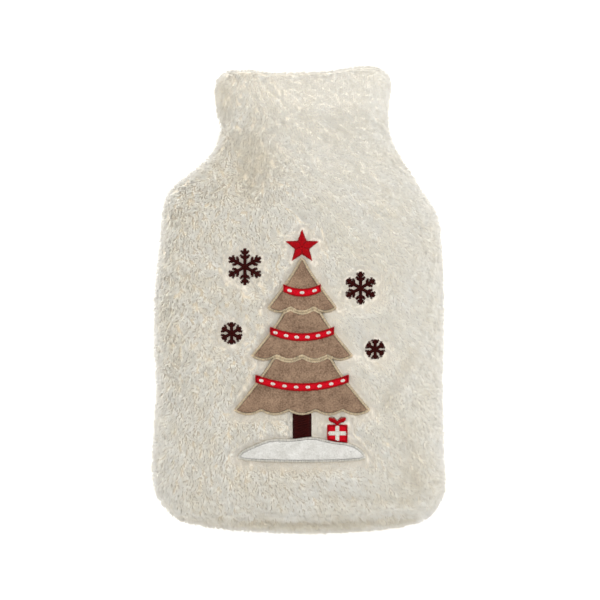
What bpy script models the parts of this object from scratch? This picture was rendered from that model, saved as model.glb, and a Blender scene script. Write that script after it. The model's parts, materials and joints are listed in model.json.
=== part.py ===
"""Hot water bottle cover of long-pile fleece, lying on its back, as full as with a bottle in it.

A front and a back panel of thick fleece meet at the side seam and stand apart at the mouth, the
open end of the neck. Patches of plush, felt and embroidery lie in a pressed hollow of the front.
X runs across the cover, Y up it from the bottom edge to the mouth, and Z up from its back.
Lengths are in millimetres until a mesh is made, which is in metres.
"""

import math
from dataclasses import dataclass

import bpy
import numpy as np
from mathutils import Vector
from mathutils.geometry import convex_hull_2d, delaunay_2d_cdt

METRES = 0.001

# The outline's stations, down the cover: what is there, height, left edge, right edge.
SIDES = (
    ("mouth corner", 172.5, -59.0, 68.2),
    ("hem", 164.2, -63.8, 70.0),
    ("hem's lower edge", 142.0, -62.6, 67.4),
    ("neck", 132.5, -59.2, 67.4),
    ("neck root", 118.6, -61.6, 71.2),
    ("shoulder start", 108.0, -68.0, 77.0),
    ("upper shoulder", 98.0, -79.5, 84.0),
    ("shoulder", 86.6, -94.6, 90.6),
    ("shoulder end", 77.5, -100.8, 96.8),
    ("upper side", 63.8, -103.4, 104.9),
    ("side", 40.0, -105.4, 108.0),
    ("side above the middle", 9.1, -108.7, 109.4),
    ("side below the middle", -31.9, -109.5, 109.4),
    ("lower side", -63.8, -107.9, 108.6),
    ("lower side bulge", -127.7, -111.0, 110.2),
    ("corner start", -144.4, -109.4, 111.0),
    ("corner", -156.0, -102.6, 105.8),
    ("corner end", -165.4, -93.5, 98.2),
)
# The edges between them, from left to right: what is there, place across, height.
BOTTOM_EDGE = (
    ("corner foot", -82.0, -169.6),
    ("left run", -52.0, -174.0),
    ("left of the middle", -22.0, -175.8),
    ("middle", 2.0, -177.0),
    ("right of the middle", 31.0, -176.4),
    ("right run", 60.0, -174.2),
    ("corner foot", 84.0, -170.4),
)
MOUTH_EDGE = (
    ("left crest", -43.0, 174.2),
    ("left dip", -17.5, 171.8),
    ("middle", 6.0, 172.8),
    ("right dip", 19.0, 172.5),
    ("right rise", 32.0, 175.0),
    ("right crest", 47.0, 177.1),
    ("right end", 60.0, 176.8),
)
MOUTH_FROM = 168.0  # the side seams end here, where the mouth's corners begin
OUTLINE_STEP = 7.5
CURVE_STEPS = 24  # between two points of a curve, before it is divided evenly

# The bag
SEAM_HEIGHT = 20.0
SEAM_GAP = 0.4  # between the two panels along their seam
WALL = 7.0  # knitted ground and pile together
SEAM_WALL = 8.5  # from the seam's outline in to the hollow
LIP = 3.6  # radius of the hem's fold at the mouth
BODY_REACH = 38.0  # how far in from the seam the body has swollen fully
NECK_REACH = 27.0
FRONT_BODY_RISE = 22.5
FRONT_NECK_RISE = 16.0
BACK_NECK_RISE = 17.0
NECK_FROM, BODY_TO = 128.0, 66.0  # the front falls from the body to the neck between these
CROWN = 4.5  # what the middle of the front stands above its shoulders
CROWN_PLACE = (0.0, -40.0)
CROWN_HALF = (112.0, 150.0)
HEM_RISE = 1.4  # the turned-in cloth thickens the neck above this height
HEM_FROM = 141.0
HEM_EASE = 5.0

# Folds of the front: from x, y, to x, y, rise (down is minus) and half width.
FOLDS = (
    ("valley down the left of the neck", -49.0, 142.0, -42.0, 86.0, -5.2, 10.0),
    ("valley under the left shoulder seam", -90.0, 80.0, -58.0, 102.0, -3.0, 11.0),
    ("valley at the right neck root", 96.0, 84.0, 58.0, 112.0, -1.8, 11.0),
    ("swell in the middle of the neck root", 0.0, 88.0, 6.0, 116.0, 2.0, 20.0),
    ("ridge of the left shoulder", -74.0, 62.0, -60.0, 84.0, 2.0, 12.0),
    ("pinch under the hem, left", -62.0, 131.0, -34.0, 134.0, -2.0, 5.5),
    ("pinch under the hem, right", 66.0, 134.0, 46.0, 137.0, -0.8, 7.0),
    ("crease above the bottom, right", 6.0, -149.0, 92.0, -151.0, -2.8, 5.0),
    ("tuck at the bottom left", -60.0, -150.0, -58.0, -162.0, -1.6, 4.0),
    ("tuck above it", -44.0, -134.0, -41.0, -146.0, -1.4, 4.0),
    ("trough up the right side", 62.0, -82.0, 86.0, -36.0, -1.8, 7.0),
    ("dent above the right corner", 84.0, -106.0, 86.0, -132.0, -1.6, 9.0),
    ("trough down the left side", -94.0, -42.0, -68.0, -88.0, -2.2, 8.0),
    ("hollow high on the left side", -82.0, 26.0, -86.0, -20.0, -1.2, 9.0),
)
# The crease where the bottom seam pulls the front in: its depth, how far in from the seam, half width,
# and the places across that it fades out at.
PULL, PULL_PLACE, PULL_HALF = 5.0, 8.5, 3.2
PULL_FROM, PULL_TO, PULL_FADE = -52.0, 80.0, 14.0
PULL_BELOW = -150.0
FINE_FOLD = 7.0  # a narrower fold has its own rows of corners
FOLD_CLEAR = 4.2  # from those rows to the next corners
# Waves of the front's pile: length across, length up, turn in degrees, height.
WAVES = (
    ("broad", 118.0, 31.0, 0.55),
    ("slanting", 83.0, -52.0, 0.50),
    ("across", 64.0, 84.0, 0.40),
    ("fine", 47.0, 12.0, 0.35),
)
EDGE_EASE = 16.0  # folds and waves fade out over this much from the seam

# The appliqué: its place, and the hollow that its stitching presses into the pile
MOTIF = (2.3, -33.0)
HOLLOW = 3.4
HOLLOW_FROM, HOLLOW_TO = 4.0, 14.0  # from the patches' edges
HOLLOW_ROW, HOLLOW_STEP = 3.4, 9.0  # corners that keep the hollow's floor level
CALM_TO = 22.0  # the pile's waves fade in as far out as this
PATCH_GAP = 0.4  # under a patch
PATCH_APART = 0.7  # between patches side by side
PLUSH, FELT, SATIN = 1.8, 1.0, 1.0  # thicknesses
PATCH_BEVEL = 0.5  # in from the edge, where a patch is thinner
PATCH_EDGE = 0.6  # the edge's share of the thickness
SCALLOP = 3.2
STAR_PLACE, STAR_RADIUS, STAR_WAIST = (0.0, 73.0), 13.0, 5.6
TRUNK_HALF = 7.0
SNOW_HALF, SNOW_RISE, SNOW_FOOT = 48.0, 15.0, -86.0
BOX_LEFT, BOX_RIGHT, BOX_HEIGHT = 19.0, 34.0, 12.5
RIBBON_HALF, RIBBON_END = 1.5, 0.8

# Tiers of the fir, from the top: top, bottom, half width at each, scallops of the hem.
TIERS = (
    ("fir_tier_top", 63.0, 27.0, 1.6, 26.0, 3),
    ("fir_tier_middle", 27.0, -9.0, 14.0, 38.0, 4),
    ("fir_tier_bottom", -9.0, -50.0, 22.0, 51.0, 5),
)
# Garlands: half length, height at the ends, how far the middle hangs below them.
GARLANDS = (
    ("garland_top", 14.0, 42.0, 3.5),
    ("garland_middle", 24.0, 10.0, 5.0),
    ("garland_bottom", 35.0, -26.0, 6.5),
)
GARLAND_HALF = 2.8
# Snowflakes: place, radius, twigs on each arm as (start, length).
FLAKES = (
    ("snowflake_upper_left", -43.0, 58.0, 14.0, ((5.6, 2.6), (9.2, 1.9))),
    ("snowflake_upper_right", 44.0, 42.0, 12.5, ((5.2, 2.4), (8.4, 1.6))),
    ("snowflake_lower_left", -53.0, 8.0, 8.5, ((4.6, 1.9),)),
    ("snowflake_lower_right", 55.0, -4.0, 7.5, ((4.2, 1.6),)),
)
ARM_HALF, TWIG_HALF = 1.15, 0.85

# Finishes: colour in linear light, roughness.
FINISHES = {
    "fleece": ((0.64, 0.58, 0.49), 0.95),
    "taupe_plush": ((0.30, 0.20, 0.13), 0.9),
    "white_plush": ((0.78, 0.78, 0.74), 0.9),
    "red_felt": ((0.58, 0.01, 0.02), 0.85),
    "red_satin": ((0.58, 0.01, 0.02), 0.45),
    "brown_satin": ((0.04, 0.01, 0.007), 0.45),
    "white_satin": ((0.80, 0.79, 0.75), 0.5),
}


def eased(value, low, high):
    """From 0 at low to 1 at high, level at both ends."""
    share = np.clip((value - low) / (high - low), 0.0, 1.0)
    return share * share * (3.0 - 2.0 * share)


def swollen(distance, reach):
    """How far a full bag's wall has risen, from 0 to 1, at a distance in from its seam."""
    short = 1.0 - np.clip(distance / reach, 0.0, 1.0)
    return np.sqrt(1.0 - short**2.2)


def even_closed_curve(points, step):
    """Points one step apart along a closed smooth curve through the given ones."""
    through = np.asarray(points, float)
    count = len(through)
    fine = []
    share = np.arange(CURVE_STEPS)[:, None] / CURVE_STEPS
    for i in range(count):
        before, start, end, after = (through[(i + k) % count] for k in (-1, 0, 1, 2))
        length = np.linalg.norm(end - start)
        leave = (end - before) * length / max(np.linalg.norm(end - before), 1e-9)
        arrive = (after - start) * length / max(np.linalg.norm(after - start), 1e-9)
        fine.append(
            start * (1 + 2 * share) * (1 - share) ** 2
            + end * share**2 * (3 - 2 * share)
            + leave * share * (1 - share) ** 2
            + arrive * share**2 * (share - 1)
        )
    fine = np.concatenate(fine)
    closed = np.vstack([fine, fine[:1]])
    along = np.concatenate([[0.0], np.cumsum(np.linalg.norm(np.diff(closed, axis=0), axis=1))])
    places = np.linspace(0.0, along[-1], round(along[-1] / step), endpoint=False)
    return np.column_stack([np.interp(places, along, closed[:, k]) for k in (0, 1)])


def cover_outline():
    """The cover's outline, counter-clockwise from the mouth's left corner, centred."""
    left = [(left, y) for _, y, left, _ in SIDES]
    right = [(right, y) for _, y, _, right in SIDES]
    bottom = [(x, y) for _, x, y in BOTTOM_EDGE]
    mouth = [(x, y) for _, x, y in MOUTH_EDGE]
    outline = even_closed_curve([*left, *bottom, *right[::-1], *mouth[::-1]], OUTLINE_STEP)
    return outline - (outline.min(0) + outline.max(0)) / 2


def distance_to(points, ends):
    """Distance of each point to the nearest of the segments, given as (start, end) pairs."""
    start, end = (np.asarray(side, float) for side in ends)
    along = end - start
    nearest = np.full(len(points), np.inf)
    for s, a in zip(start, along, strict=True):
        share = np.clip(((points - s) @ a) / max(a @ a, 1e-12), 0.0, 1.0)
        nearest = np.minimum(nearest, np.linalg.norm(points - s - share[:, None] * a, axis=1))
    return nearest


def sides_of(outline):
    """The segments of a closed outline."""
    return outline, np.roll(outline, -1, axis=0)


def inside(points, outline):
    """Which points lie within a closed outline."""
    within = np.zeros(len(points), bool)
    for (x0, y0), (x1, y1) in zip(*sides_of(outline), strict=True):
        crosses = (y0 > points[:, 1]) != (y1 > points[:, 1])
        rise = y1 - y0 if y1 != y0 else 1.0
        within ^= crosses & (points[:, 0] < x0 + (points[:, 1] - y0) * (x1 - x0) / rise)
    return within


def moved_in(outline, distance):
    """A counter-clockwise outline's points, each moved in by that much, or out if it is minus."""
    along = np.roll(outline, -1, axis=0) - np.roll(outline, 1, axis=0)
    along /= np.linalg.norm(along, axis=1)[:, None]
    return outline + distance * np.column_stack([-along[:, 1], along[:, 0]])


class Corners:
    """Corners for a mesh over an outline, kept far enough apart for full triangles."""

    def __init__(self, outline):
        """Start with the outline alone."""
        self.outline = outline
        self.points = np.empty((0, 2))
        self.folds = np.empty((0, 2))

    def add_fold(self, start, end, half):
        """Add three rows along a fold that is narrower than the lattice."""
        start, end = np.array(start), np.array(end)
        length = np.linalg.norm(end - start)
        along = (end - start) / length
        across = np.array((-along[1], along[0]))
        steps = np.linspace(0.0, length, max(2, round(length / OUTLINE_STEP)))
        for off in (0.0, half, -half):
            self.add(start + steps[:, None] * along + off * across, 0.6 * half)
        self.folds = self.points.copy()

    def add_row(self, distance, clear):
        """Add a row at a distance in from the outline, clear of the fold rows so far."""
        row = moved_in(self.outline, distance)
        row = row[inside(row, self.outline)]
        row = row[distance_to(row, sides_of(self.outline)) > 0.9 * distance]
        if len(self.folds):
            near = np.linalg.norm(row[:, None] - self.folds[None], axis=2).min(1)
            row = row[near > clear]
        self.add(row, 0.55 * OUTLINE_STEP, against=np.empty((0, 2)))

    def add(self, points, clear, against=None):
        """Add the points that are clear of all those kept so far."""
        kept = list(self.points if against is None else against)
        added = []
        for point in points:
            near = np.asarray(kept) - point if kept else np.empty((0, 2))
            if not len(near) or (near**2).sum(1).min() > clear**2:
                kept.append(point)
                added.append(point)
        if added:
            self.points = np.vstack([self.points, added])

    def fill(self, spacing, margin):
        """Add a triangular lattice over what lies more than a margin in from the outline."""
        low, high = self.outline.min(0), self.outline.max(0)
        rise = spacing * math.sqrt(3) / 2
        rows = np.arange(low[1], high[1], rise)
        lattice = np.array(
            [
                (x + (i % 2) * spacing / 2, y)
                for i, y in enumerate(rows)
                for x in np.arange(low[0], high[0], spacing)
            ]
        )
        lattice = lattice[inside(lattice, self.outline)]
        lattice = lattice[distance_to(lattice, sides_of(self.outline)) > margin]
        self.add(lattice, 0.6 * spacing)

    def triangles(self):
        """The triangles over the outline. Its own points come first, then the ones within."""
        every = [Vector(p) for p in (*self.outline, *self.points)]
        rim = list(range(len(self.outline)))
        found = delaunay_2d_cdt(every, [], [rim], 1, 1e-6)
        source = [origin[0] for origin in found[3]]
        return [tuple(source[corner] for corner in face) for face in found[2]]


def material(name):
    """The finish of that name, as a material."""
    if name in bpy.data.materials:
        return bpy.data.materials[name]
    colour, roughness = FINISHES[name]
    made = bpy.data.materials.new(name)
    made.use_nodes = True
    shader = made.node_tree.nodes["Principled BSDF"]
    shader.inputs["Base Color"].default_value = (*colour, 1.0)
    shader.inputs["Roughness"].default_value = roughness
    shader.inputs["Metallic"].default_value = 0.0
    return made


def add_shell(name, upper, lower, rims, upper_height, lower_height, finish):
    """A closed body between two surfaces over one outline, as an object.

    rims has the outline's height, or its heights at the upper and the lower end of an upright edge.
    """
    outline = upper.outline
    count = len(outline)
    heights = [*(rim(outline) for rim in rims), upper_height(upper.points), lower_height(lower.points)]
    places = [*(outline for _ in rims), upper.points, lower.points]
    corners = np.vstack([np.column_stack(pair) for pair in zip(places, heights, strict=True)])
    lower_rim = count * (len(rims) - 1)
    upper_start = count * len(rims)
    lower_start = upper_start + len(upper.points)

    def numbered(face, rim, start):
        return tuple(rim + c if c < count else start + c - count for c in face)

    faces = [numbered(face, 0, upper_start) for face in upper.triangles()]
    faces += [numbered(face[::-1], lower_rim, lower_start) for face in lower.triangles()]
    if lower_rim:
        nexts = [(i, (i + 1) % count) for i in range(count)]
        faces += [(a, lower_rim + a, lower_rim + b, b) for a, b in nexts]
    mesh = bpy.data.meshes.new(name)
    mesh.from_pydata((corners * METRES).tolist(), [], faces)
    mesh.shade_smooth()
    mesh.set_sharp_from_angle(angle=math.radians(50))
    mesh.materials.append(material(finish))
    body = bpy.data.objects.new(name, mesh)
    bpy.context.scene.collection.objects.link(body)
    return body


class Cover:
    """The bag: how far its walls stand from the plane of their seam."""

    def __init__(self, footprint):
        """Take the outlines of what the patches press into the front's pile."""
        self.outline = cover_outline()
        start, end = sides_of(self.outline)
        mouth = (start[:, 1] > MOUTH_FROM) & (end[:, 1] > MOUTH_FROM)
        self.mouth = start[mouth], end[mouth]
        self.seam = start[~mouth], end[~mouth]
        self.footprint = footprint

    def body_share(self, points):
        """1 over the body and 0 over the neck."""
        return 1.0 - eased(points[:, 1], BODY_TO, NECK_FROM)

    def rise(self, points, body, neck, inset):
        """The wall's rise from the seam's plane, where the seam is inset by that much."""
        share = self.body_share(points)
        full = neck + (body - neck) * share
        reach = NECK_REACH + (BODY_REACH - NECK_REACH) * share
        return full * swollen(distance_to(points, self.seam) - inset, reach)

    def relief(self, points, inset):
        """Crown, hem, folds and waves of the front."""
        away = (points - CROWN_PLACE) / CROWN_HALF
        crown = CROWN * np.clip(1.0 - away[:, 0] ** 2, 0, 1) * np.clip(1.0 - away[:, 1] ** 2, 0, 1)
        height = crown + HEM_RISE * eased(points[:, 1], HEM_FROM - HEM_EASE / 2, HEM_FROM + HEM_EASE / 2)
        for _, x0, y0, x1, y1, fold, half in FOLDS:
            off = distance_to(points, (((x0, y0),), ((x1, y1),)))
            height += fold * np.exp(-((off / half) ** 2))
        calm = eased(self.from_patches(points), 0.0, CALM_TO)
        for _, length, turn, tall in WAVES:
            way = np.array([math.cos(math.radians(turn)), math.sin(math.radians(turn))])
            height += tall * calm * np.sin(2 * math.pi * (points @ way) / length)
        return height * eased(distance_to(points, self.seam) - inset, 0.0, EDGE_EASE)

    def pulled_in(self, points):
        """How far the bottom seam pulls the front in at each point."""
        off = (distance_to(points, self.seam) - PULL_PLACE) / PULL_HALF
        across = eased(points[:, 0], PULL_FROM, PULL_FROM + PULL_FADE)
        across *= 1.0 - eased(points[:, 0], PULL_TO - PULL_FADE, PULL_TO)
        return PULL * across * (points[:, 1] < PULL_BELOW) * np.exp(-(off**2))

    def from_patches(self, points):
        """Distance to the nearest patch, and 0 under one."""
        nearest = np.full(len(points), np.inf)
        for outline in self.footprint:
            away = distance_to(points, sides_of(outline))
            away[inside(points, outline)] = 0.0
            nearest = np.minimum(nearest, away)
        return nearest

    def front_faces(self, points):
        """Heights of the front panel's outer and inner faces, before its lip is rounded."""
        seam = SEAM_HEIGHT + SEAM_GAP / 2
        pressed = HOLLOW * (1.0 - eased(self.from_patches(points), HOLLOW_FROM, HOLLOW_TO))
        outer = self.rise(points, FRONT_BODY_RISE, FRONT_NECK_RISE, 0.0) - pressed
        outer += self.relief(points, 0.0) - self.pulled_in(points)
        inner = self.rise(points, FRONT_BODY_RISE - WALL, FRONT_NECK_RISE - WALL, SEAM_WALL)
        inner += self.relief(points, SEAM_WALL)
        return seam + outer, seam + inner

    def back_faces(self, points):
        """Heights of the back panel's outer and inner faces, before its lip is rounded."""
        seam = SEAM_HEIGHT - SEAM_GAP / 2
        outer = self.rise(points, seam, BACK_NECK_RISE, 0.0)
        inner = self.rise(points, seam - WALL, BACK_NECK_RISE - WALL, SEAM_WALL)
        return seam - outer, seam - inner

    def rounded_lip(self, points, faces, which):
        """One of the two faces, drawn to the wall's middle round the fold at the mouth."""
        both = faces(points)
        middle = (both[0] + both[1]) / 2
        left = 1.0 - np.clip(distance_to(points, self.mouth) / LIP, 0.0, 1.0)
        return middle + (both[which] - middle) * np.sqrt(1.0 - left**2)

    def corners(self, rows, spacing, folds):
        """Rows near the outline, a lattice and, if asked, rows along folds and round patches."""
        field = Corners(self.outline)
        for _, x0, y0, x1, y1, _, half in FOLDS if folds else ():
            if half < FINE_FOLD:
                field.add_fold((x0, y0), (x1, y1), half)
        for outline in self.footprint if folds else ():
            row = moved_in(even_closed_curve(outline, HOLLOW_STEP), -HOLLOW_ROW)
            field.add(row[self.from_patches(row) > 0.8 * HOLLOW_ROW], 0.5 * HOLLOW_STEP)
        for distance in rows:
            field.add_row(distance, FOLD_CLEAR)
        field.fill(spacing, rows[-1] + 0.6 * spacing)
        return field

    def add_panel(self, name, faces, outer_is_up, outer_rows, outer_spacing, folds):
        """One panel, from its seam up or down, with the hollow's face coarser."""
        outer = self.corners(outer_rows, outer_spacing, folds)
        inner = self.corners((SEAM_WALL, SEAM_WALL + 1.6, SEAM_WALL + 6.0, SEAM_WALL + 13.0), 15.0, False)
        for distance in (LIP * 0.25, LIP):
            row = self.outline[self.outline[:, 1] > MOUTH_FROM] - (0.0, distance)
            row = row[distance_to(row, self.seam) > SEAM_WALL * 0.5]
            inner.add(row, 1.5)

        def height(which):
            return lambda points: self.rounded_lip(points, faces, which)

        upper, lower = (0, 1) if outer_is_up else (1, 0)
        fields = (outer, inner)
        return add_shell(
            name, fields[upper], fields[lower], (height(0),), height(upper), height(lower), "fleece"
        )


def scallops(x, half, count):
    """How far a scalloped hem of that half width hangs below its corners at x."""
    return SCALLOP * np.abs(np.sin(math.pi * count * (x + half) / (2 * half)))


@dataclass
class Tier:
    """One tier of the fir, with the one above it."""

    name: str
    top: float
    bottom: float
    half_top: float
    half_bottom: float
    count: int
    above: "Tier | None" = None

    def hem(self):
        """Its scalloped hem, from left to right."""
        x = np.linspace(-self.half_bottom, self.half_bottom, 6 * self.count + 1)
        return np.column_stack([x, self.bottom - scallops(x, self.half_bottom, self.count)])

    def below_hem(self, half):
        """The line just below its hem, from -half to half."""
        hem = self.hem()
        x = np.concatenate([[-half], hem[np.abs(hem[:, 0]) < half - PATCH_GAP, 0], [half]])
        return np.column_stack([x, np.interp(x, *hem.T) - PATCH_APART])

    def outline(self):
        """Counter-clockwise from its hem's left corner."""
        tip = np.array([(-self.half_top, self.top), (0.0, self.top + self.half_top)])
        tip = np.vstack([tip, (self.half_top, self.top)])
        top = self.above.below_hem(self.half_top) if self.above else tip
        share = np.linspace(0.0, 1.0, 8)[1:-1]
        side_x = self.half_top + (self.half_bottom - self.half_top) * (1 - share) ** 1.15
        side_y = self.bottom + (top[0, 1] - self.bottom) * share
        right = np.column_stack([side_x, side_y])
        return np.vstack([self.hem(), right, top[::-1], (right * (-1.0, 1.0))[::-1]])


def snow_top(x):
    """Height of the snow bank's upper edge."""
    round_top = SNOW_RISE * np.sqrt(np.clip(1.0 - (x / SNOW_HALF) ** 2, 0.0, 1.0))
    return SNOW_FOOT + round_top + 0.8 * np.sin(x * 2 * math.pi / 31.0)


def snow_outline():
    """The snow bank, counter-clockwise from its left end."""
    foot_x = np.linspace(-SNOW_HALF, SNOW_HALF, 17)
    foot_y = SNOW_FOOT - 2.6 * np.sqrt(np.clip(1.0 - (foot_x / SNOW_HALF) ** 2, 0.0, 1.0))
    turn = np.linspace(0.0, math.pi, 22)[1:-1]
    top_x = SNOW_HALF * np.cos(turn)
    return np.vstack([np.column_stack([foot_x, foot_y]), np.column_stack([top_x, snow_top(top_x)])])


def on_snow(left, right, top):
    """A piece with upright edges that stands on the snow bank, below the line given."""
    x = np.linspace(left, right, 5)
    return np.vstack([np.column_stack([x, snow_top(x) + PATCH_APART]), top[::-1]])


def star_outline():
    """A five-pointed star, counter-clockwise from its top point."""
    turn = math.pi / 2 + np.arange(10) * math.pi / 5
    radius = np.where(np.arange(10) % 2 == 0, STAR_RADIUS, STAR_WAIST)
    return np.column_stack([radius * np.cos(turn), radius * np.sin(turn)]) + STAR_PLACE


def garland_outline(half, ends, hang):
    """A hanging band, counter-clockwise from its lower left corner."""
    x = np.linspace(-half, half, 15)
    middle = ends - hang * (1.0 - (x / half) ** 2)
    lower = np.column_stack([x, middle - GARLAND_HALF])
    upper = np.column_stack([x, middle + GARLAND_HALF])
    return np.vstack([lower, upper[::-1]])


def flake_outline(x, y, radius, twigs):
    """A six-armed snowflake, counter-clockwise."""
    sine, cosine = math.sin(math.radians(60)), math.cos(math.radians(60))
    edge = [(ARM_HALF * math.sqrt(3), ARM_HALF)]
    for start, length in twigs:
        tip = (start + length * cosine, ARM_HALF + length * sine)
        edge.append((start, ARM_HALF))
        edge.append(tip)
        edge.append((tip[0] + 2 * TWIG_HALF * sine, tip[1] - 2 * TWIG_HALF * cosine))
        edge.append((start + 2 * TWIG_HALF / sine, ARM_HALF))
    edge.append((radius - ARM_HALF / 2, ARM_HALF))
    near = [(u, -v) for u, v in edge[1:]]
    arm = np.array([*near, (radius, 0.0), *edge[::-1]])
    turns = [math.radians(90 + 60 * k) for k in range(6)]
    arms = [
        np.column_stack(
            [
                arm[:, 0] * math.cos(t) - arm[:, 1] * math.sin(t),
                arm[:, 0] * math.sin(t) + arm[:, 1] * math.cos(t),
            ]
        )
        for t in turns
    ]
    return np.vstack(arms) + (x, y)


def box_foot():
    """Height of the gift box's foot at its middle."""
    return float(snow_top(np.array((BOX_LEFT + BOX_RIGHT) / 2))) + PATCH_APART


def ribbon_outline():
    """An upright cross over the box, counter-clockwise."""
    middle = (BOX_LEFT + BOX_RIGHT) / 2
    half_box = (BOX_RIGHT - BOX_LEFT) / 2 - RIBBON_END
    low, high = box_foot() + RIBBON_END, box_foot() + BOX_HEIGHT - RIBBON_END
    level = (low + high) / 2
    r = RIBBON_HALF
    return np.array(
        [
            (middle - r, low),
            (middle + r, low),
            (middle + r, level - r),
            (middle + half_box, level - r),
            (middle + half_box, level + r),
            (middle + r, level + r),
            (middle + r, high),
            (middle - r, high),
            (middle - r, level + r),
            (middle - half_box, level + r),
            (middle - half_box, level - r),
            (middle - r, level - r),
        ]
    )


def patches():
    """Each patch's name, outline on the cover, lift from the pile, thickness and finish."""
    made = []
    above = None
    for name, top, bottom, half_top, half_bottom, count in TIERS:
        above = Tier(name, top, bottom, half_top, half_bottom, count, above)
        made.append((name, above.outline(), PATCH_GAP, PLUSH, "taupe_plush"))
    lid = box_foot() + BOX_HEIGHT
    trunk = on_snow(-TRUNK_HALF, TRUNK_HALF, above.below_hem(TRUNK_HALF))
    box = on_snow(BOX_LEFT, BOX_RIGHT, np.array([(BOX_LEFT, lid), (BOX_RIGHT, lid)]))
    made.append(("trunk", trunk, PATCH_GAP, SATIN, "brown_satin"))
    made.append(("snow_bank", snow_outline(), PATCH_GAP, PLUSH, "white_plush"))
    made.append(("gift_box", box, PATCH_GAP, FELT, "red_felt"))
    made.append(("star", star_outline(), PATCH_GAP, SATIN, "red_satin"))
    for name, x, y, radius, twigs in FLAKES:
        made.append((name, flake_outline(x, y, radius, twigs), PATCH_GAP, SATIN, "brown_satin"))
    on_plush, on_felt = PATCH_GAP + PLUSH + PATCH_GAP, PATCH_GAP + FELT + PATCH_GAP
    for name, half, ends, hang in GARLANDS:
        made.append((name, garland_outline(half, ends, hang), on_plush, FELT, "red_felt"))
    made.append(("gift_ribbon", ribbon_outline(), on_felt, SATIN, "white_satin"))
    return [(name, outline + MOTIF, *rest) for name, outline, *rest in made]


def add_patch(cover, name, outline, lift, thick, finish):
    """A patch that follows the pressed pile, with its upper edge bevelled."""
    upper, lower = Corners(outline), Corners(outline)
    row = moved_in(outline, PATCH_BEVEL)
    row = row[inside(row, outline)]
    upper.add(row[distance_to(row, sides_of(outline)) > 0.7 * PATCH_BEVEL], 0.2)
    for field in (upper, lower):
        field.fill(9.0, 4.0)

    def surface(above):
        return lambda points: cover.front_faces(points)[0] + above

    top, foot = surface(lift + thick), surface(lift)
    edge_top = surface(lift + thick * PATCH_EDGE)
    return add_shell(name, upper, lower, (edge_top, foot), top, foot, finish)


def main():
    """Clear the scene and build the cover."""
    for old in list(bpy.data.objects):
        bpy.data.objects.remove(old, do_unlink=True)
    applique = patches()
    lowest = [outline for _, outline, lift, *_ in applique if lift == PATCH_GAP]
    cover = Cover([outline[convex_hull_2d(outline.tolist())] for outline in lowest])
    cover.add_panel("front_panel", cover.front_faces, True, (1.2, 4.0, 8.5, 14.5, 21.5), 10.0, True)
    cover.add_panel("back_panel", cover.back_faces, False, (1.2, 4.0, 8.5, 15.0, 23.0), 16.0, False)
    for patch in applique:
        add_patch(cover, *patch)


main()
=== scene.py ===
"""Looks of a fitted hot water bottle cover of long-pile fleece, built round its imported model.

A front and a back panel of cream sherpa fleece lie on their back, as full as with a bottle in
them, and stand open at the neck's mouth. Their knitted ground carries locks of pile, combed as the
real one lies. A fir with its garlands, a star, snowflakes, a snow bank and a parcel are sewn on the
front as plush and felt patches with satin-stitched borders, and as satin embroidery.
X runs across the cover, Y up it to the mouth, and Z up out of its front. All is in metres.
"""

import json
import logging
import math
from collections.abc import Callable, Sequence
from dataclasses import dataclass, field
from enum import Enum

import bpy
import numpy as np
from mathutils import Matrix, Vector
from mathutils.bvhtree import BVHTree
from mathutils.geometry import convex_hull_2d
from mathutils.kdtree import KDTree

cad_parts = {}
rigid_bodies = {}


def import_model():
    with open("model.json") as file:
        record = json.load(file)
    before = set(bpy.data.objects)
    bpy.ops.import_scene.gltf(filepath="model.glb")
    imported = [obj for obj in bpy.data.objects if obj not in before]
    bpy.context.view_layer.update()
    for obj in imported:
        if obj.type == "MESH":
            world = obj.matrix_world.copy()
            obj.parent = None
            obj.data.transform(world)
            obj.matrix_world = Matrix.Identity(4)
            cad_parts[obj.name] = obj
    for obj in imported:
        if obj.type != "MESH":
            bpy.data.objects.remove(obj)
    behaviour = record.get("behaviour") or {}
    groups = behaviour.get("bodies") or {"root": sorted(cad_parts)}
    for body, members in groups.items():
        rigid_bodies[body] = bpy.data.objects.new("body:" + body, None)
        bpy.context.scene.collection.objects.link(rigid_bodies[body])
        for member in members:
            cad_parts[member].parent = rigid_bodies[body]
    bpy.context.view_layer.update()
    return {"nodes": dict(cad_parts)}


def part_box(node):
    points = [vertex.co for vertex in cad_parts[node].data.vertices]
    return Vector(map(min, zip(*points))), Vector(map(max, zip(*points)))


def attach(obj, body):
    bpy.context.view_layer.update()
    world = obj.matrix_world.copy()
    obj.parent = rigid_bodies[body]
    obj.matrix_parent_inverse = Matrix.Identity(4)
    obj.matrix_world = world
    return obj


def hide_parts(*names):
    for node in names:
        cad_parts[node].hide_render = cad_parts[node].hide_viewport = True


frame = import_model()

MM = 0.001
MOTIF = (2.3 * MM, -33.0 * MM)  # the middle of the embroidered design
BODY = "root"
GOLDEN = (math.sqrt(5) - 1) / 2
Colour = tuple[float, float, float, float]
log = logging.getLogger("bottle_cover")


class Facing(Enum):
    """The way that one side of a panel's cloth faces, as the cover lies."""

    UP = 1.0
    DOWN = -1.0


# ---------------------------------------------------------------- materials


def linear(hex_colour: str) -> Colour:
    """Turn an sRGB hex colour to linear light.

    Args:
        hex_colour: Six hex digits after a #.

    Returns:
        Red, green, blue and a full alpha.
    """
    parts = [int(hex_colour[i : i + 2], 16) / 255 for i in (1, 3, 5)]
    return (*(c / 12.92 if c <= 0.04045 else ((c + 0.055) / 1.055) ** 2.4 for c in parts), 1.0)


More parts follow.
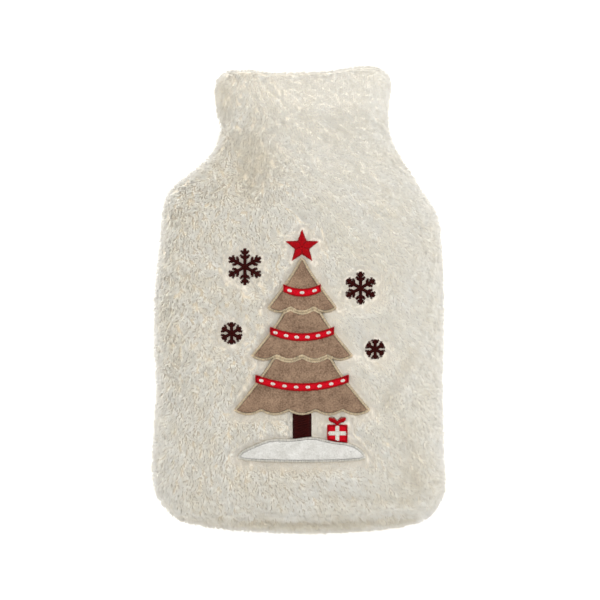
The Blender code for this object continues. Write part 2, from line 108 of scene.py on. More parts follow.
def add_node(
    tree: bpy.types.NodeTree, kind: str, inputs: dict | None = None, **settings: object
) -> bpy.types.Node:
    """Add a node, set its properties, and fill its inputs.

    Args:
        tree: The material's nodes.
        kind: The node's Blender type.
        inputs: A value or another node's output for each input, by name or number.
        settings: The node's properties.

    Returns:
        The new node.
    """
    made = tree.nodes.new(kind)
    for name, value in settings.items():
        setattr(made, name, value)
    for key, value in (inputs or {}).items():
        if isinstance(value, bpy.types.NodeSocket):
            tree.links.new(value, made.inputs[key])
        else:
            made.inputs[key].default_value = value
    return made


def blend_of(
    tree: bpy.types.NodeTree,
    share: bpy.types.NodeSocket | float,
    first: bpy.types.NodeSocket | Colour,
    second: bpy.types.NodeSocket | Colour,
    mode: str = "MIX",
) -> bpy.types.NodeSocket:
    """Blend two colours.

    Args:
        tree: The material's nodes.
        share: The second colour's share, from 0 to 1.
        first: The first colour.
        second: The second colour.
        mode: How the second lies over the first, as Blender names it.

    Returns:
        The blend's socket.
    """
    mixed = add_node(
        tree, "ShaderNodeMix", {0: share, 6: first, 7: second}, data_type="RGBA", blend_type=mode
    )
    return mixed.outputs[2]


def mark_of(tree: bpy.types.NodeTree, name: str) -> bpy.types.NodeSocket:
    """Read one of the mesh's own numbers, which each strand carries, and return its socket."""
    return add_node(tree, "ShaderNodeAttribute", attribute_name=name).outputs["Fac"]


NOISE_USUAL = (0.3, 0.7)  # Blender's noise keeps between these nearly everywhere


def noise_of(
    tree: bpy.types.NodeTree, size: float, detail: float, low: float = 0.0, high: float = 1.0
) -> bpy.types.NodeSocket:
    """Smooth noise on the object's own coordinates.

    Args:
        tree: The material's nodes.
        size: Width of one patch of the noise, in metres.
        detail: Octaves.
        low: Output where the noise is at its usual lowest.
        high: Output where it is at its usual highest.

    Returns:
        The socket with the value.
    """
    place = add_node(tree, "ShaderNodeTexCoord").outputs["Object"]
    grain = add_node(
        tree, "ShaderNodeTexNoise", {"Vector": place, "Scale": 1 / size, "Detail": detail}
    )
    least, most = NOISE_USUAL
    ranged = {"Value": grain.outputs["Fac"], "From Min": least, "From Max": most}
    ranged |= {"To Min": low, "To Max": high}
    return add_node(tree, "ShaderNodeMapRange", ranged).outputs["Result"]


@dataclass(frozen=True)
class Finish:
    """A cloth or thread finish: its name, its shader's settings, and how its nodes paint it."""

    name: str
    roughness: float
    sheen: float = 0.0
    sheen_roughness: float = 0.5
    specular: float = 0.3
    soaks: float = 0.0  # share of the light that soaks in
    soak_depth: float = 1.5 * MM
    soak_hue: tuple[float, float, float] = (1.0, 0.95, 0.88)  # red soaks deepest in pale fibre

    def material(self) -> bpy.types.Material:
        """Return the material, made on first use."""
        if self.name in bpy.data.materials:
            return bpy.data.materials[self.name]
        made = bpy.data.materials.new(self.name)
        made.use_nodes = True
        shader = made.node_tree.nodes["Principled BSDF"]
        shader.inputs["Roughness"].default_value = self.roughness
        shader.inputs["Sheen Weight"].default_value = self.sheen
        shader.inputs["Sheen Roughness"].default_value = self.sheen_roughness
        shader.inputs["Specular IOR Level"].default_value = self.specular
        shader.inputs["Subsurface Weight"].default_value = self.soaks
        shader.inputs["Subsurface Radius"].default_value = self.soak_hue
        shader.inputs["Subsurface Scale"].default_value = self.soak_depth
        self.paint(made.node_tree, shader)
        return made

    def paint(self, tree: bpy.types.NodeTree, shader: bpy.types.Node) -> None:
        """Link the finish's own pattern to the shader."""
        raise NotImplementedError

    @staticmethod
    def bump(
        tree: bpy.types.NodeTree,
        shader: bpy.types.Node,
        height: bpy.types.NodeSocket,
        depth: float,
    ) -> None:
        """Raise the surface by a height from 0 to 1, as deep as given in metres."""
        raised = add_node(tree, "ShaderNodeBump", {"Height": height, "Distance": depth, "Strength": 1.0})
        tree.links.new(raised.outputs["Normal"], shader.inputs["Normal"])


@dataclass(frozen=True)
class SherpaPile(Finish):
    """Polyester sherpa pile: cream locks, painted warm and dim at the root as the shade deep in the
    pile, and pale at the tip.
    """

    # The root colour is painted shade: the warm shade deep in the pile.
    root: str = "#D9CEBB"
    tip: str = "#FFF9EA"
    warm: str = "#EEE8DE"
    cool: str = "#FFFFFF"
    brushed: str = "#FDFAF4"
    brushed_wide: float = 25 * MM
    # This colour is painted shade, darker and cooler, on the rims and on pressed pile next to the
    # patches.
    pale: str = "#F5F6FB"
    # This colour is painted shade in the valleys and creases and along the bottom seam.
    painted_shade: str = "#E1DDD6"
    root_shade_smooth: float = 0.12  # how far up a lock its root's painted shade goes where the pile lies smooth
    root_shade_rough: float = 0.4  # how much further it goes where the pile is rough
    fibre_wide: float = 0.4 * MM
    fibre_deep: float = 0.05 * MM

    def paint(self, tree: bpy.types.NodeTree, shader: bpy.types.Node) -> None:
        """Painted shade from root to tip by the lock's own attribute, then each lock's tint, and painted
        shade on rims, pressed pile and creases.

        Args:
            tree: The material's nodes.
            shader: Its principled shader.
        """
        along, tint, relief = (mark_of(tree, name) for name in ("along", "tint", "relief"))
        pale, painted_shade = mark_of(tree, "pale"), mark_of(tree, "painted_shade")
        # The roots are painted tan, as the shade deep between the locks, where light soaks in and turns
        # warm.
        reach = {0: relief, 1: self.root_shade_rough, 2: self.root_shade_smooth}
        upto = add_node(tree, "ShaderNodeMath", reach, operation="MULTIPLY_ADD")
        ease = {"Value": along, "From Min": 0.0, "From Max": upto.outputs[0]}
        eased = add_node(tree, "ShaderNodeMapRange", ease, interpolation_type="SMOOTHSTEP")
        fibre = blend_of(tree, eased.outputs["Result"], linear(self.root), linear(self.tip))
        lock = blend_of(tree, tint, linear(self.warm), linear(self.cool))
        coloured = blend_of(tree, 1.0, fibre, lock, "MULTIPLY")
        # Broad patches, some warmer and some cooler, show how unevenly the pile was brushed.
        mottle = noise_of(tree, self.brushed_wide, 2.0)
        broad = blend_of(tree, mottle, linear(self.brushed), linear(self.cool))
        brushed = blend_of(tree, 1.0, coloured, broad, "MULTIPLY")
        # Rims and pressed pile next to the patches get painted shade, a little darker and cooler.
        cooled = blend_of(tree, pale, brushed, linear(self.pale), "MULTIPLY")
        # Valleys, creases and the bottom seam get painted shade, and so does pressed pile next to the
        # patches.
        final = blend_of(tree, painted_shade, cooled, linear(self.painted_shade), "MULTIPLY")
        tree.links.new(final, shader.inputs["Base Color"])
        # Single fibres give a soft grain. Real ones of 0.03 mm are too fine to show, so these are wider.
        self.bump(tree, shader, noise_of(tree, self.fibre_wide, 1.0), self.fibre_deep)


@dataclass(frozen=True)
class KnitGround(Finish):
    """Weft-knitted polyester ground: matt, with fine wales that show inside the mouth."""

    # The face colour is the knit's own, made darker and tanner than the pile as the shade deep under
    # rough pile; pale is painted light where the ground lies shallow.
    face: str = "#DDD1BC"
    # The groove colour is painted shade between the wales.
    groove_shade: str = "#D1C4AD"
    pale: str = "#EBE3D5"
    wale: float = 1.3 * MM
    wale_deep: float = 0.1 * MM
    uneven_wide: float = 9 * MM

    def paint(self, tree: bpy.types.NodeTree, shader: bpy.types.Node) -> None:
        """Wales down the cover and courses across it, with painted shade in the grooves and a broad
        unevenness.

        Args:
            tree: The material's nodes.
            shader: Its principled shader.
        """
        place = add_node(tree, "ShaderNodeTexCoord").outputs["Object"]
        # The wave's scale for one wale's width: a wave repeats 20 times in two pi of its own units.
        scale = 2 * math.pi / 20 / self.wale
        wave = {"Vector": place, "Scale": scale, "Distortion": 1.2, "Detail": 1.0, "Detail Scale": 3.0}
        wales = add_node(tree, "ShaderNodeTexWave", wave, bands_direction="X").outputs["Fac"]
        mottled = noise_of(tree, self.uneven_wide, 3.0)
        ridge = blend_of(tree, wales, linear(self.groove_shade), linear(self.face))
        knit = blend_of(tree, mottled, ridge, linear(self.face))
        # The ground is painted light and shade by how deep it lies: as pale as the pile round the
        # patches and where the pile lies smooth and the ground shallow, darker and tanner deep under
        # rough pile.
        final = blend_of(tree, mark_of(tree, "pale"), knit, linear(self.pale))
        tree.links.new(final, shader.inputs["Base Color"])
        self.bump(tree, shader, wales, self.wale_deep)


@dataclass(frozen=True)
class ShortPlush(Finish):
    """Short sheared plush: the nap lies this way and that, so it mottles, and its grain shows."""

    dark: str = "#4E3627"
    light: str = "#AB8F76"
    nap: float = 9 * MM
    grain: float = 1.1 * MM
    grain_deep: float = 0.22 * MM

    def paint(self, tree: bpy.types.NodeTree, shader: bpy.types.Node) -> None:
        """Nap patches of several millimetres, with a grain drawn at about a millimetre.

        Args:
            tree: The material's nodes.
            shader: Its principled shader.
        """
        nap = noise_of(tree, self.nap, 2.0, 0.15, 0.85)
        grain = noise_of(tree, self.grain, 2.0)
        brushed = blend_of(tree, nap, linear(self.dark), linear(self.light))
        speckled = blend_of(tree, grain, linear(self.dark), linear(self.light))
        final = blend_of(tree, 0.5, brushed, speckled)
        tree.links.new(final, shader.inputs["Base Color"])
        self.bump(tree, shader, grain, self.grain_deep)


@dataclass(frozen=True)
class WoolFelt(Finish):
    """Pressed felt: matt, even, with matted fibres that catch the light here and there."""

    dark: str = "#98000C"
    light: str = "#CA0E22"
    mat: float = 0.7 * MM
    mat_deep: float = 0.12 * MM

    def paint(self, tree: bpy.types.NodeTree, shader: bpy.types.Node) -> None:
        """Matted fibres, some of them paler.

        Args:
            tree: The material's nodes.
            shader: Its principled shader.
        """
        mat = noise_of(tree, self.mat, 4.0)
        final = blend_of(tree, mat, linear(self.dark), linear(self.light))
        tree.links.new(final, shader.inputs["Base Color"])
        self.bump(tree, shader, mat, self.mat_deep)


@dataclass(frozen=True)
class SatinThread(Finish):
    """Rayon embroidery thread laid side by side: silky, with painted shade where each stitch dives down.
    """

    colour: str = "#3A1512"
    # The foot colour is painted shade where each stitch dives into the cloth.
    foot: str = "#1E0806"
    shaded: str = "#D8D8D8"
    twist: float = 0.3 * MM
    twist_deep: float = 0.03 * MM

    def paint(self, tree: bpy.types.NodeTree, shader: bpy.types.Node) -> None:
        """Bright in the middle of each stitch and painted shade at both feet, with a tint a stitch.

        Args:
            tree: The material's nodes.
            shader: Its principled shader.
        """
        along, tint = mark_of(tree, "along"), mark_of(tree, "tint")
        from_middle = add_node(tree, "ShaderNodeMath", {0: along, 1: 0.5}, operation="SUBTRACT")
        away = add_node(tree, "ShaderNodeMath", {0: from_middle.outputs[0]}, operation="ABSOLUTE")
        fade = {"Value": away.outputs[0], "From Min": 0.5, "From Max": 0.28}
        lit = add_node(tree, "ShaderNodeMapRange", fade, interpolation_type="SMOOTHSTEP")
        thread = blend_of(tree, lit.outputs["Result"], linear(self.foot), linear(self.colour))
        shade = blend_of(tree, tint, linear(self.shaded), linear("#FFFFFF"))
        final = blend_of(tree, 1.0, thread, shade, "MULTIPLY")
        tree.links.new(final, shader.inputs["Base Color"])
        # The yarn's twist breaks its shine up. It is drawn wide enough to show up close.
        self.bump(tree, shader, noise_of(tree, self.twist, 1.0), self.twist_deep)


@dataclass(frozen=True)
class PaperSweep(Finish):
    """White photographic sweep, lit so brightly that it reads as plain white."""

    colour: str = "#F6F6F4"
    glow: float = 0.28

    def paint(self, tree: bpy.types.NodeTree, shader: bpy.types.Node) -> None:
        """One even white, with the light of the table under it.

        Args:
            tree: The material's nodes.
            shader: Its principled shader.
        """
        shader.inputs["Base Color"].default_value = linear(self.colour)
        shader.inputs["Emission Color"].default_value = (1.0, 1.0, 1.0, 1.0)
        shader.inputs["Emission Strength"].default_value = self.glow


PILE = SherpaPile("sherpa_pile", 0.85, sheen=0.12, soaks=0.65, soak_depth=0.75 * MM)
GROUND = KnitGround("knitted_ground", 0.95)
TAUPE = ShortPlush("taupe_short_plush", 0.9, sheen=0.12, sheen_roughness=0.4)
WHITE = ShortPlush("white_short_plush", 0.9, sheen=0.15, dark="#B9B7B0", light="#DFDEDA")
RED_FELT = WoolFelt("red_wool_felt", 0.85, sheen=0.02, specular=0.06)
RED = SatinThread("red_rayon_thread", 0.45, specular=0.1, colour="#C20516", foot="#66020A")
BROWN = SatinThread("dark_brown_rayon_thread", 0.42, specular=0.06, colour="#400D09", foot="#160202")
BEIGE = SatinThread("beige_rayon_thread", 0.4, specular=0.3, colour="#ECD9B8", foot="#A88760")
IVORY = SatinThread("ivory_rayon_thread", 0.4, specular=0.5, colour="#F4F1E8", foot="#B9AE9C")
SWEEP = PaperSweep("paper_sweep", 0.9)


# ---------------------------------------------------------------- meshes


def take(piece: bpy.types.Object) -> bpy.types.Object:
    """Deselect everything else and make a piece the active one.

    Args:
        piece: The piece.

    Returns:
        The same piece.
    """
    bpy.ops.object.select_all(action="DESELECT")
    piece.select_set(True)
    bpy.context.view_layer.objects.active = piece
    return piece


def corners_of(piece: bpy.types.Object) -> np.ndarray:
    """Every vertex's place, as rows.

    Args:
        piece: The piece.

    Returns:
        A row of x, y and z a corner.
    """
    mesh = piece.data
    places = np.empty(len(mesh.vertices) * 3)
    mesh.vertices.foreach_get("co", places)
    return places.reshape(-1, 3)


def move_corners(piece: bpy.types.Object, places: np.ndarray) -> None:
    """Give every vertex a new place."""
    piece.data.vertices.foreach_set("co", places.ravel())
    piece.data.update()


def triangles_of(piece: bpy.types.Object) -> np.ndarray:
    """Every triangle of a mesh, as rows of vertex numbers.

    Args:
        piece: The piece.

    Returns:
        A row of three corners a triangle.
    """
    mesh = piece.data
    mesh.calc_loop_triangles()
    found = np.empty(len(mesh.loop_triangles) * 3, np.int32)
    mesh.loop_triangles.foreach_get("vertices", found)
    return found.reshape(-1, 3)


def lengths(rows: np.ndarray) -> np.ndarray:
    """Each row's length, as a column, never quite nothing."""
    return np.maximum(np.linalg.norm(rows, axis=1), 1e-12)[:, None]


def crosses_of(places: np.ndarray, triangles: np.ndarray) -> np.ndarray:
    """Each triangle's normal, as long as twice its area."""
    a, b, c = (places[triangles[:, k]] for k in range(3))
    return np.cross(b - a, c - a)


def smooth_normals(places: np.ndarray, triangles: np.ndarray) -> np.ndarray:
    """Each vertex's normal over the triangles given, weighed by their areas.

    Args:
        places: Every vertex's place.
        triangles: Rows of vertex numbers.

    Returns:
        A unit normal a vertex.
    """
    total = np.zeros_like(places)
    crosses = crosses_of(places, triangles)
    for k in range(3):
        np.add.at(total, triangles[:, k], crosses)
    return total / lengths(total)


def copy_of(node: str, name: str) -> bpy.types.Object:
    """Copy a CAD node's mesh to a new piece and merge its loose triangles.

    Args:
        node: The CAD node's name.
        name: The new piece's name.

    Returns:
        The piece, which is the active object.
    """
    piece = bpy.data.objects.new(name, frame["nodes"][node].data.copy())
    piece.data.name = name
    bpy.context.scene.collection.objects.link(piece)
    take(piece)
    bpy.ops.mesh.customdata_custom_splitnormals_clear()
    bpy.ops.object.mode_set(mode="EDIT")
    bpy.ops.mesh.select_all(action="SELECT")
    bpy.ops.mesh.remove_doubles(threshold=0.01 * MM)
    bpy.ops.mesh.faces_shade_smooth()
    bpy.ops.mesh.mark_sharp(clear=True)
    bpy.ops.object.mode_set(mode="OBJECT")
    return piece


def select_faces(piece: bpy.types.Object, chosen: np.ndarray) -> None:
    """Enter edit mode with just the chosen faces selected.

    Args:
        piece: The active piece.
        chosen: True or False a face.
    """
    bpy.context.tool_settings.mesh_select_mode = (False, False, True)
    bpy.ops.object.mode_set(mode="EDIT")
    bpy.ops.mesh.select_all(action="DESELECT")
    bpy.ops.object.mode_set(mode="OBJECT")
    piece.data.polygons.foreach_set("select", chosen)
    bpy.ops.object.mode_set(mode="EDIT")


def subdivide(piece: bpy.types.Object, levels: int, kind: str = "CATMULL_CLARK") -> None:
    """Apply a Subdivision Surface modifier to a piece.

    Args:
        piece: The piece.
        levels: How many times each face is divided.
        kind: Whether the faces are smoothed too, as Blender names it.
    """
    take(piece)
    finer = piece.modifiers.new("finer", "SUBSURF")
    finer.levels = finer.render_levels = levels
    finer.subdivision_type = kind
    bpy.ops.object.modifier_apply(modifier=finer.name)


def face_normals_z(piece: bpy.types.Object) -> np.ndarray:
    """The upward part of each face's normal.

    Args:
        piece: The piece.

    Returns:
        A number a face.
    """
    mesh = piece.data
    normals = np.empty(len(mesh.polygons) * 3)
    mesh.polygons.foreach_get("normal", normals)
    return normals.reshape(-1, 3)[:, 2]


def eased(value: np.ndarray, low: float, high: float) -> np.ndarray:
    """From 0 at low to 1 at high, level at both ends."""
    share = np.clip((value - low) / (high - low), 0.0, 1.0)
    return share * share * (3.0 - 2.0 * share)


def dress(piece: bpy.types.Object, finish: Finish, slot: str | None, *nodes: str) -> bpy.types.Object:
    """Give a piece its finish and its body, and hide the CAD nodes that it stands for.

    Args:
        piece: The piece.
        finish: Its finish.
        slot: The record's material slot, or None where the record has none like it. Not used.
        nodes: The CAD nodes that it replaces.

    Returns:
        The same piece.
    """
    piece.data.materials.clear()
    piece.data.materials.append(finish.material())
    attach(piece, BODY)
    if nodes:
        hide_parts(*nodes)
    log.info("%s: %d triangles", piece.name, len(triangles_of(piece)))
    return piece


OVERSAMPLE = 2.4  # places tried for each one wanted
APART = 0.8  # least distance between two, as a share of the usual one


def tree_of(places: np.ndarray) -> KDTree:
    """Put places into a tree that finds the nearest of them.

    Args:
        places: The places.

    Returns:
        The tree, which gives their numbers.
    """
    tree = KDTree(len(places))
    for i, place in enumerate(places):
        tree.insert(place, i)
    tree.balance()
    return tree


def kept_apart(places: np.ndarray, least: float, rng: np.random.Generator) -> np.ndarray:
    """Which places to keep so that no two are closer than the least distance.

    Args:
        places: The places tried.
        least: The least distance.
        rng: Seeded random numbers, for the order of trying.

    Returns:
        The numbers of the places kept, in their own order.
    """
    tree = tree_of(places)
    free = np.ones(len(places), bool)
    for i in rng.permutation(len(places)):
        if free[i]:
            for _, j, _ in tree.find_range(places[i], least):
                free[j] = False
            free[i] = True
    # What is still free had its own turn before its neighbours had theirs.
    return np.flatnonzero(free)


class Skin:
    """One side of a cloth as triangles, for pile or thread to stand on."""

    def __init__(self, piece: bpy.types.Object) -> None:
        """Read a piece's mesh.

        Args:
            piece: The piece.
        """
        self.places = corners_of(piece)
        self.triangles = triangles_of(piece)
        self.normals = smooth_normals(self.places, self.triangles)

    @classmethod
    def of_node(cls, node: str, facing: Facing, levels: int = 2) -> "Skin":
        """Read one side of a CAD node, smoothed.

        Args:
            node: The CAD node's name.
            facing: Which side of it.
            levels: Subdivisions.

        Returns:
            The skin.
        """
        piece = copy_of(node, "passing_copy")
        select_faces(piece, face_normals_z(piece) * facing.value < 0)
        bpy.ops.mesh.delete(type="FACE")
        bpy.ops.object.mode_set(mode="OBJECT")
        subdivide(piece, levels)
        skin = cls(piece)
        bpy.data.objects.remove(piece)
        return skin

    def tree(self) -> BVHTree:
        """The skin as a tree for casting rays."""
        return BVHTree.FromPolygons(self.places.tolist(), self.triangles.tolist())

    def scatter(
        self, spacing: float, rng: np.random.Generator, keep: Callable | None = None
    ) -> tuple[np.ndarray, np.ndarray]:
        """Spread places evenly over the skin.

        Args:
            spacing: Usual distance between two places.
            rng: Seeded random numbers.
            keep: Which triangles count, from their middles.

        Returns:
            Places and the skin's normals there.
        """
        triangles = self.triangles
        if keep:
            triangles = triangles[keep(self.places[triangles].mean(1))]
        areas = np.linalg.norm(crosses_of(self.places, triangles), axis=1) / 2
        upto = np.cumsum(areas)
        count = int(upto[-1] / spacing**2 * OVERSAMPLE)
        draws = (np.arange(count) + rng.random(count)) / count * upto[-1]
        chosen = triangles[np.minimum(np.searchsorted(upto, draws), len(triangles) - 1)]
        a, b = rng.random((2, count))
        over = a + b > 1
        a[over], b[over] = 1 - a[over], 1 - b[over]
        shares = np.stack([1 - a - b, a, b], 1)[..., None]
        places = (self.places[chosen] * shares).sum(1)
        normals = (self.normals[chosen] * shares).sum(1)
        apart = kept_apart(places, APART * spacing, rng)
        return places[apart], (normals / lengths(normals))[apart]


# How far the normals of a patch's upright edge and of its underside point up, at most.
UPRIGHT = 0.3
UNDERSIDE = -0.5
OUTLINE_STEP = 0.5 * MM


class Outline:
    """A closed outline on the cover, counter-clockwise from above."""

    def __init__(self, corners: np.ndarray) -> None:
        """Take its corners.

        Args:
            corners: Each one's x and y, in order.
        """
        x, y = corners[:, 0], corners[:, 1]
        twice = (x * np.roll(y, -1) - np.roll(x, -1) * y).sum()
        self.corners = corners if twice > 0 else corners[::-1]
        self.area = abs(float(twice)) / 2

    @classmethod
    def of_node(cls, node: str) -> "Outline":
        """Read a patch's outline, where its upright edge meets its underside.

        Args:
            node: The patch's CAD node.

        Returns:
            The outline.
        """
        piece = copy_of(node, "passing_copy")
        places, triangles = corners_of(piece), triangles_of(piece)
        bpy.data.objects.remove(piece)
        crosses = crosses_of(places, triangles)
        up = crosses[:, 2] / lengths(crosses)[:, 0]
        upright: set[tuple[int, int]] = set()
        for a, b, c in triangles[np.abs(up) < UPRIGHT]:
            upright |= {(a, b), (b, c), (c, a)}
        following: dict[int, int] = {}
        for a, b, c in triangles[up < UNDERSIDE]:
            for start, end in ((a, b), (b, c), (c, a)):
                if (end, start) in upright:
                    following[end] = start
        first = next(iter(following))
        loop = [first]
        while following[loop[-1]] != first:
            loop.append(following[loop[-1]])
        return cls(places[loop, :2])

    def hull(self) -> "Outline":
        """The outline of a sheet stretched round this one."""
        return Outline(self.corners[convex_hull_2d(self.corners.tolist())])

    def away(self, places: np.ndarray) -> np.ndarray:
        """Distance of each place from the outline, minus within it.

        Args:
            places: The places, of which x and y count.

        Returns:
            A distance a place, in metres.
        """
        nearest = np.full(len(places), np.inf)
        within = np.zeros(len(places), bool)
        for start, end in zip(self.corners, np.roll(self.corners, -1, 0), strict=True):
            along = end - start
            off = places[:, :2] - start
            share = np.clip(off @ along / max(along @ along, 1e-18), 0, 1)
            nearest = np.minimum(nearest, ((off - share[:, None] * along) ** 2).sum(1))
            crosses = (start[1] > places[:, 1]) != (end[1] > places[:, 1])
            rise = along[1] if along[1] else 1.0
            within ^= crosses & (off[:, 0] < off[:, 1] * along[0] / rise)
        return np.where(within, -1.0, 1.0) * np.sqrt(nearest)

    def evenly(self, step: float) -> np.ndarray:
        """Places one step apart round it."""
        return evenly_along(np.vstack([self.corners, self.corners[:1]]), step)[:-1]


def evenly_along(path: np.ndarray, step: float) -> np.ndarray:
    """Divide an open path into even steps.

    Args:
        path: Its corners, with any more columns to carry along.
        step: The usual distance between two places.

    Returns:
        The places, the path's ends among them.
    """
    upto = np.concatenate([[0.0], np.cumsum(np.linalg.norm(np.diff(path, axis=0), axis=1))])
    where = np.linspace(0, upto[-1], max(2, round(upto[-1] / step) + 1))
    return np.column_stack([np.interp(where, upto, path[:, k]) for k in range(path.shape[1])])


# ---------------------------------------------------------------- strands


@dataclass
class Strand:
    """One lock or thread, modelled once as a tapered prism and copied by arrays.

    Fields: sides of the prism, then each ring's place along it from 0 to 1 and its radius.
    """

    sides: int
    rings: tuple[tuple[float, float], ...]
    along: np.ndarray = field(init=False)
    across: np.ndarray = field(init=False)
    faces: np.ndarray = field(init=False)

    def __post_init__(self) -> None:
        """Model the prism and read it back."""
        bpy.ops.object.select_all(action="DESELECT")
        bpy.ops.mesh.primitive_cone_add(
            vertices=self.sides,
            radius1=1.0,
            radius2=1.0 if self.rings[-1][1] else 0.0,
            depth=1.0,
            location=(0, 0, 0),
        )
        piece = bpy.context.object
        bpy.ops.object.mode_set(mode="EDIT")
        for height, _ in self.rings[1:-1]:
            bpy.ops.mesh.select_all(action="SELECT")
            bpy.ops.mesh.bisect(plane_co=(0, 0, height - 0.5), plane_no=(0, 0, 1))
        bpy.ops.mesh.select_all(action="SELECT")
        bpy.ops.mesh.quads_convert_to_tris()
        bpy.ops.object.mode_set(mode="OBJECT")
        places = corners_of(piece)
        self.faces = triangles_of(piece)
        bpy.data.objects.remove(piece)
        self.along = places[:, 2] + 0.5
        heights, radii = np.array(self.rings).T
        outward = places[:, :2] / lengths(places[:, :2])
        at_tip = np.linalg.norm(places[:, :2], axis=1) < 1e-6
        outward[at_tip] = 0.0
        self.across = outward * np.interp(self.along, heights, radii)[:, None]


@dataclass
class Strands:
    """Many strands as arrays: three points of each one's curve, its two sides and its marks."""

    start: np.ndarray
    bend: np.ndarray
    end: np.ndarray
    side: np.ndarray
    up: np.ndarray
    wide: np.ndarray  # half the width, along side
    thick: np.ndarray  # half the thickness, along up
    marks: dict[str, np.ndarray]  # numbers that the finish reads
    lean_on: np.ndarray | None = None  # normals of what they stand on

    def chosen(self, which: np.ndarray) -> "Strands":
        """Take some of them, by number.

        Args:
            which: Their numbers.

        Returns:
            The chosen ones.
        """
        marks = {name: values[which] for name, values in self.marks.items()}
        rest = {name: v[which] for name, v in vars(self).items() if isinstance(v, np.ndarray)}
        return Strands(**rest, marks=marks)

    def pieces(
        self, names: Sequence[str], shape: Strand, softness: float = 0.0
    ) -> list[bpy.types.Object]:
        """Join them into as many meshes as there are names, from the cover's bottom to its mouth.

        Args:
            names: The pieces' names.
            shape: The strand that is copied.
            softness: How far the shading follows what the strands stand on, from 0 to 1.

        Returns:
            The pieces.
        """
        order = np.argsort(self.start[:, 1], kind="stable")
        return [
            self.chosen(part).joined(name, shape, softness)
            for name, part in zip(names, np.array_split(order, len(names)), strict=True)
        ]

    def joined(self, name: str, shape: Strand, softness: float = 0.0) -> bpy.types.Object:
        """Join them all into one mesh.

        Args:
            name: The piece's name.
            shape: The strand that is copied.
            softness: How far the shading follows what the strands stand on, from 0 to 1.

        Returns:
            The piece.
        """
        u = shape.along[None, :, None]
        curve = [v[:, None, :] for v in (self.start, self.bend, self.end)]
        centre = (1 - u) ** 2 * curve[0] + 2 * u * (1 - u) * curve[1] + u**2 * curve[2]
        out = shape.across[None, :, 0, None] * self.side[:, None, :] * self.wide[:, None, None]
        out = out + shape.across[None, :, 1, None] * self.up[:, None, :] * self.thick[:, None, None]
        count, each = len(self.start), len(shape.along)
        faces = shape.faces[None] + each * np.arange(count)[:, None, None]
        mesh = bpy.data.meshes.new(name)
        mesh.vertices.add(count * each)
        mesh.vertices.foreach_set("co", (centre + out).ravel())
        mesh.loops.add(faces.size)
        mesh.loops.foreach_set("vertex_index", faces.ravel().astype(np.int32))
        mesh.polygons.add(faces.size // 3)
        mesh.polygons.foreach_set("loop_start", np.arange(0, faces.size, 3, dtype=np.int32))
        mesh.update(calc_edges=True)
        mesh.shade_smooth()
        marks = {name: np.repeat(values, each) for name, values in self.marks.items()}
        for label, values in ({"along": np.tile(shape.along, count)} | marks).items():
            stored = mesh.attributes.new(label, "FLOAT", "POINT")
            stored.data.foreach_set("value", values.astype(np.float32))
        if softness and self.lean_on is not None:
            own = out.reshape(-1, 3)
            own = own / np.maximum(lengths(own), 1e-7)
            ground = np.repeat(self.lean_on, each, axis=0)
            soft = softness * ground + (1 - softness) * own
            mesh.normals_split_custom_set_from_vertices(soft / lengths(soft))
        piece = bpy.data.objects.new(name, mesh)
        bpy.context.scene.collection.objects.link(piece)
        return piece


# ---------------------------------------------------------------- the fleece

# How the pile lies, read off the cover: x, y in mm, the way it is combed in degrees, how far single
# locks stray from it, and how rough it is, against 1 for the roughest half.
COMBED = (
    ("neck, left", -45, 150, -105, 65, 0.8),
    ("neck, middle", 0, 150, -14, 24, 0.2),
    ("neck, right", 45, 140, -22, 14, 0.15),
    ("neck root, right", 55, 105, -38, 20, 0.3),
    ("neck root, middle", 15, 110, -44, 24, 0.05),
    ("valley, left", -55, 100, -125, 75, 1.1),
    ("shoulder, left", -80, 66, -60, 78, 1.1),
    ("shoulder, right", 80, 60, -49, 20, 0.5),
    ("above the fir", 0, 75, -50, 40, 1.0),
    ("side, left", -85, 0, -75, 80, 1.15),
    ("low, left", -85, -100, -103, 62, 1.0),
    ("side, right", 88, -20, -50, 20, 0.5),
    ("low, right", 85, -110, -62, 30, 0.55),
    ("foot, left", -55, -150, -70, 50, 1.05),
    ("foot, middle", 0, -150, -55, 40, 1.0),
    ("foot, right", 60, -150, -46, 28, 0.85),
)
COMB_REACH = 32 * MM
# Where the pile gets painted shade, in its valleys and creases and as the shadow along the bottom seam:
# from x, y to x, y, half its width in mm, and how dark, from 0 to 1.
PAINTED_SHADE_TABLE = (
    ("valley down the left of the neck", -36, 118, -33, 98, 12.0, 0.8),
    ("dent under the hem, left", -56, 158, -54, 144, 6.5, 0.45),
    ("down the left side", -92, -60, -73, -86, 6.0, 0.25),
    ("crease up the right side", 64, -76, 86, -38, 3.5, 0.5),
    ("dent above the right corner", 80, -106, 86, -134, 9.0, 0.5),
    ("bottom seam, left", -90, -165, -46, -168, 2.0, 0.6),
    ("bottom seam, middle", -46, -169, 20, -170, 2.2, 1.0),
    ("bottom seam, right", 20, -170, 86, -167, 2.2, 0.9),
    ("lip of the bottom seam", -84, -171, 82, -174, 5.0, 0.5),
    ("crease above the bottom", 24, -150, 84, -151, 1.8, 0.4),
)
# Whorls of the pile: width in mm, direction in degrees, phase, and weight.
WHORLS = (
    (37.0, 12, 0.4, 0.2),
    (23.0, 78, 2.1, 0.25),
    (17.0, 131, 4.4, 0.3),
    (11.0, 47, 1.2, 0.35),
    (8.0, 160, 3.3, 0.35),
    (6.3, 95, 5.2, 0.3),
)
# The side walls begin and end where a normal's upward part, or that part's size, is this much.
RIM = (0.9, 0.25)
WALL = (0.85, 0.3)
RIM_SMOOTH = 0.6  # how far the pile's roughness is lost over the rim
WALL_DROOP = 1.1  # how steeply the pile hangs down the side walls


